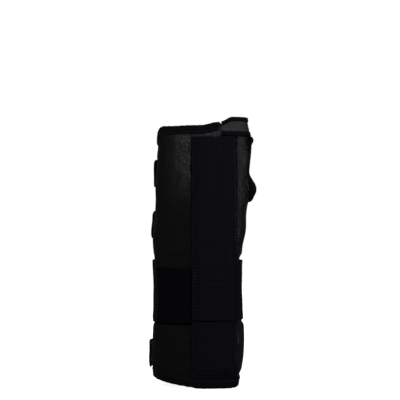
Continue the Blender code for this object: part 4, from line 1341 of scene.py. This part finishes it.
class SPLINT_OT_stitching(bpy.types.Operator):
    """Rows of thread along the pocket, the bindings and the strap roots"""
    bl_idname = "splint.stitching"
    bl_label = "Stitching"

    def execute(self, context):
        pitch = context.scene.splint_cloth.stitch_pitch
        thread = finish_of("thread")

        def row(name, girth, z, depth, body="sleeve"):
            piece = sew_on_sleeve(name, girth, z, depth, thread, pitch)
            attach(piece, body)

        for name, inset in (("ulnar", 0.0018), ("radial", -0.0018)):
            x = POCKET_X[0] + inset if inset > 0 else POCKET_X[1] + inset
            for part, low, high in (("low", 0.021, STRAP_Z[0] - 0.002), ("high", STRAP_Z[1] + 0.002, 0.247)):
                z = np.linspace(low, high, 200)
                girth = SLEEVE.palmar(x, z)
                depth = pocket_depth(SLEEVE.point(girth, z)) + COVER - 0.00012
                row(f"pocket_stitches_{name}_{part}", girth, z, depth)
        x = np.linspace(POCKET_X[0] + 0.003, POCKET_X[1] - 0.003, 80)
        z = 0.0165 + 0 * x
        girth = SLEEVE.palmar(x, z)
        depth = pocket_depth(SLEEVE.point(girth, z)) + COVER
        row("pocket_foot_stitches", girth, z + hem_z(girth) * 0.5, depth)
        for x in (POCKET_X[0] + 0.0022, POCKET_X[0] + 0.0042):
            z = np.linspace(STRAP_Z[0] + 0.003, STRAP_Z[1] - 0.003, 80)
            girth = SLEEVE.palmar(x, z)
            row(f"strap_root_stitches_{round((x - POCKET_X[0]) * 1e4)}", girth, z,
                strap_depth(SLEEVE.point(girth, z)) + WEBBING)
        ulnar = SLEEVE.dorsal(OPENING_X[0], AT_TOP)
        face = TAPE_GAP + TAPE - 0.00020
        girth = np.linspace(ulnar + 0.008, 0.998 + SLEEVE.palmar(WEB_ROOT_X - 0.005, AT_TOP), 500)
        row("finger_edge_stitches", girth, top_z(girth) - TOP_LEG + 0.0018, face)
        ulnar, radial = (SLEEVE.dorsal(x, 0.0) for x in OPENING_X)
        girth = np.linspace(ulnar + 0.004, 1.0 + radial - 0.004, 600)
        row("hem_stitches", girth, hem_z(girth) + HEM_LEG - 0.0018, face)
        for name, x, side in (("ulnar", OPENING_X[0], 1), ("radial", OPENING_X[1], -1)):
            z = np.linspace(0.014, 0.238, 300)
            girth = SLEEVE.dorsal(x, z) + side * (OPENING_LEG - 0.0016) / SLEEVE.round_length(z)
            row(f"opening_stitches_{name}", girth, z, face)
        for name, (low, _) in CLOSURES.items():
            for part, shift in (("a", 0.0012), ("b", 0.0030)):
                z = np.linspace(low + 0.002, low + CLOSURE_WIDTH - 0.002, 40)
                girth = SLEEVE.dorsal(CLOSURE_ROOT_X - shift, z)
                row(f"closure_root_stitches_{name}_{part}", girth, z,
                    closure_depth(SLEEVE.point(girth, z)) + WEBBING)
        return {"FINISHED"}


class SPLINT_OT_stage(bpy.types.Operator):
    """Pale round floor that curves up into a backdrop, soft lights and the camera"""
    bl_idname = "splint.stage"
    bl_label = "Floor, lights and camera"

    def execute(self, context):
        stage = context.scene.splint_stage
        floor = Finish("stage_white", Specular_IOR_Level=0.0, Emission_Strength=0.93)
        floor.shader.inputs["Base Color"].default_value = (*stage.floor, 1.0)
        floor.shader.inputs["Emission Color"].default_value = (1.0, 1.0, 1.0, 1.0)
        floor.shader.inputs["Roughness"].default_value = 0.9
        turn = np.linspace(0, math.pi / 2, 24)
        flat, bend, high = 3.0, 2.0, 7.0
        out = np.concatenate([[0.0, 0.5, 1.5], flat + bend * np.sin(turn), [flat + bend]])
        z = np.concatenate([[0.0, 0.0, 0.0], bend - bend * np.cos(turn), [high]])
        around = np.linspace(0, 2 * math.pi, 73)[:-1, None]
        bowl = np.stack([out * np.cos(around), out * np.sin(around), z + 0 * around], axis=-1)
        quads = grid_faces(*bowl.shape[:2], ring=True)[:, ::-1]
        mesh = bpy.data.meshes.new("stage_floor")
        mesh.from_pydata(bowl.reshape(-1, 3).tolist(), [], quads.tolist())
        mesh.shade_smooth()
        mesh.materials.append(floor.material)
        backdrop = bpy.data.objects.new("stage_floor", mesh)
        bpy.context.collection.objects.link(backdrop)
        backdrop.visible_glossy = backdrop.visible_diffuse = False

        world = bpy.data.worlds.new("soft_room")
        world.use_nodes = True
        world.node_tree.nodes["Background"].inputs["Color"].default_value = (1.0, 1.0, 1.0, 1.0)
        world.node_tree.nodes["Background"].inputs["Strength"].default_value = 0.06
        context.scene.world = world

        middle = np.array([0.0, 0.0, 0.13])
        for name, power, place, size in (("key_light", stage.key_power, (-0.42, -1.25, 0.80), 0.34),
                                         ("side_light", stage.fill_power, (1.2, -0.5, 0.45), 0.7),
                                         ("back_light", stage.fill_power, (-0.3, 1.3, 1.0), 1.0)):
            light = bpy.data.lights.new(name, "AREA")
            light.energy, light.size = power, size
            lamp = bpy.data.objects.new(name, light)
            self.aim(lamp, np.array(place), middle)
            bpy.context.collection.objects.link(lamp)

        camera = bpy.data.cameras.new("camera")
        camera.angle = 2 * math.atan(stage.frame_width / 2 / stage.camera_distance)
        camera.clip_start, camera.clip_end = 0.01, 50.0
        holder = bpy.data.objects.new("camera", camera)
        holder.location = (-MIDDLE[0], -stage.camera_distance, stage.camera_height)
        holder.rotation_euler = (math.pi / 2, 0.0, 0.0)
        bpy.context.collection.objects.link(holder)
        context.scene.camera = holder
        context.scene.view_settings.view_transform = "Standard"
        return {"FINISHED"}

    def aim(self, lamp, place, target):
        """Put a lamp at a place, turned about x by its fall and about z by its bearing to the target."""
        away = target - place
        lamp.location = place
        lamp.rotation_euler = (math.acos(-away[2] / np.linalg.norm(away)), 0.0,
                               math.atan2(away[1], away[0]) - math.pi / 2)


PARTS = (SPLINT_OT_panels, SPLINT_OT_thumb_rim, SPLINT_OT_bindings, SPLINT_OT_tongue, SPLINT_OT_palmar_pocket,
         SPLINT_OT_dorsal_pockets, SPLINT_OT_stays, SPLINT_OT_forearm_strap, SPLINT_OT_closure_straps,
         SPLINT_OT_web_strap, SPLINT_OT_stitching, SPLINT_OT_stage)


class SPLINT_PT_sidebar(bpy.types.Panel):
    """Sizes, colours and the steps that build the splint"""
    bl_label = "Wrist splint"
    bl_idname = "SPLINT_PT_sidebar"
    bl_space_type = "VIEW_3D"
    bl_region_type = "UI"
    bl_category = "Splint"

    def draw(self, context):
        for group in (context.scene.splint_cloth, context.scene.splint_colours, context.scene.splint_stage):
            box = self.layout.box()
            for name in group.__annotations__:
                box.prop(group, name)
        for part in PARTS:
            self.layout.operator(part.bl_idname)


GROUPS = {"splint_cloth": SplintCloth, "splint_colours": SplintColours, "splint_stage": SplintStage}


def register():
    for group in (*GROUPS.values(), *PARTS, SPLINT_PT_sidebar):
        bpy.utils.register_class(group)
    for name, group in GROUPS.items():
        setattr(bpy.types.Scene, name, PointerProperty(type=group))


def unregister():
    for name in GROUPS:
        delattr(bpy.types.Scene, name)
    for group in (SPLINT_PT_sidebar, *reversed(PARTS), *GROUPS.values()):
        bpy.utils.unregister_class(group)


def main():
    register()
    for part in PARTS:
        group, name = part.bl_idname.split(".")
        getattr(getattr(bpy.ops, group), name)()


if __name__ == "__main__":
    main()
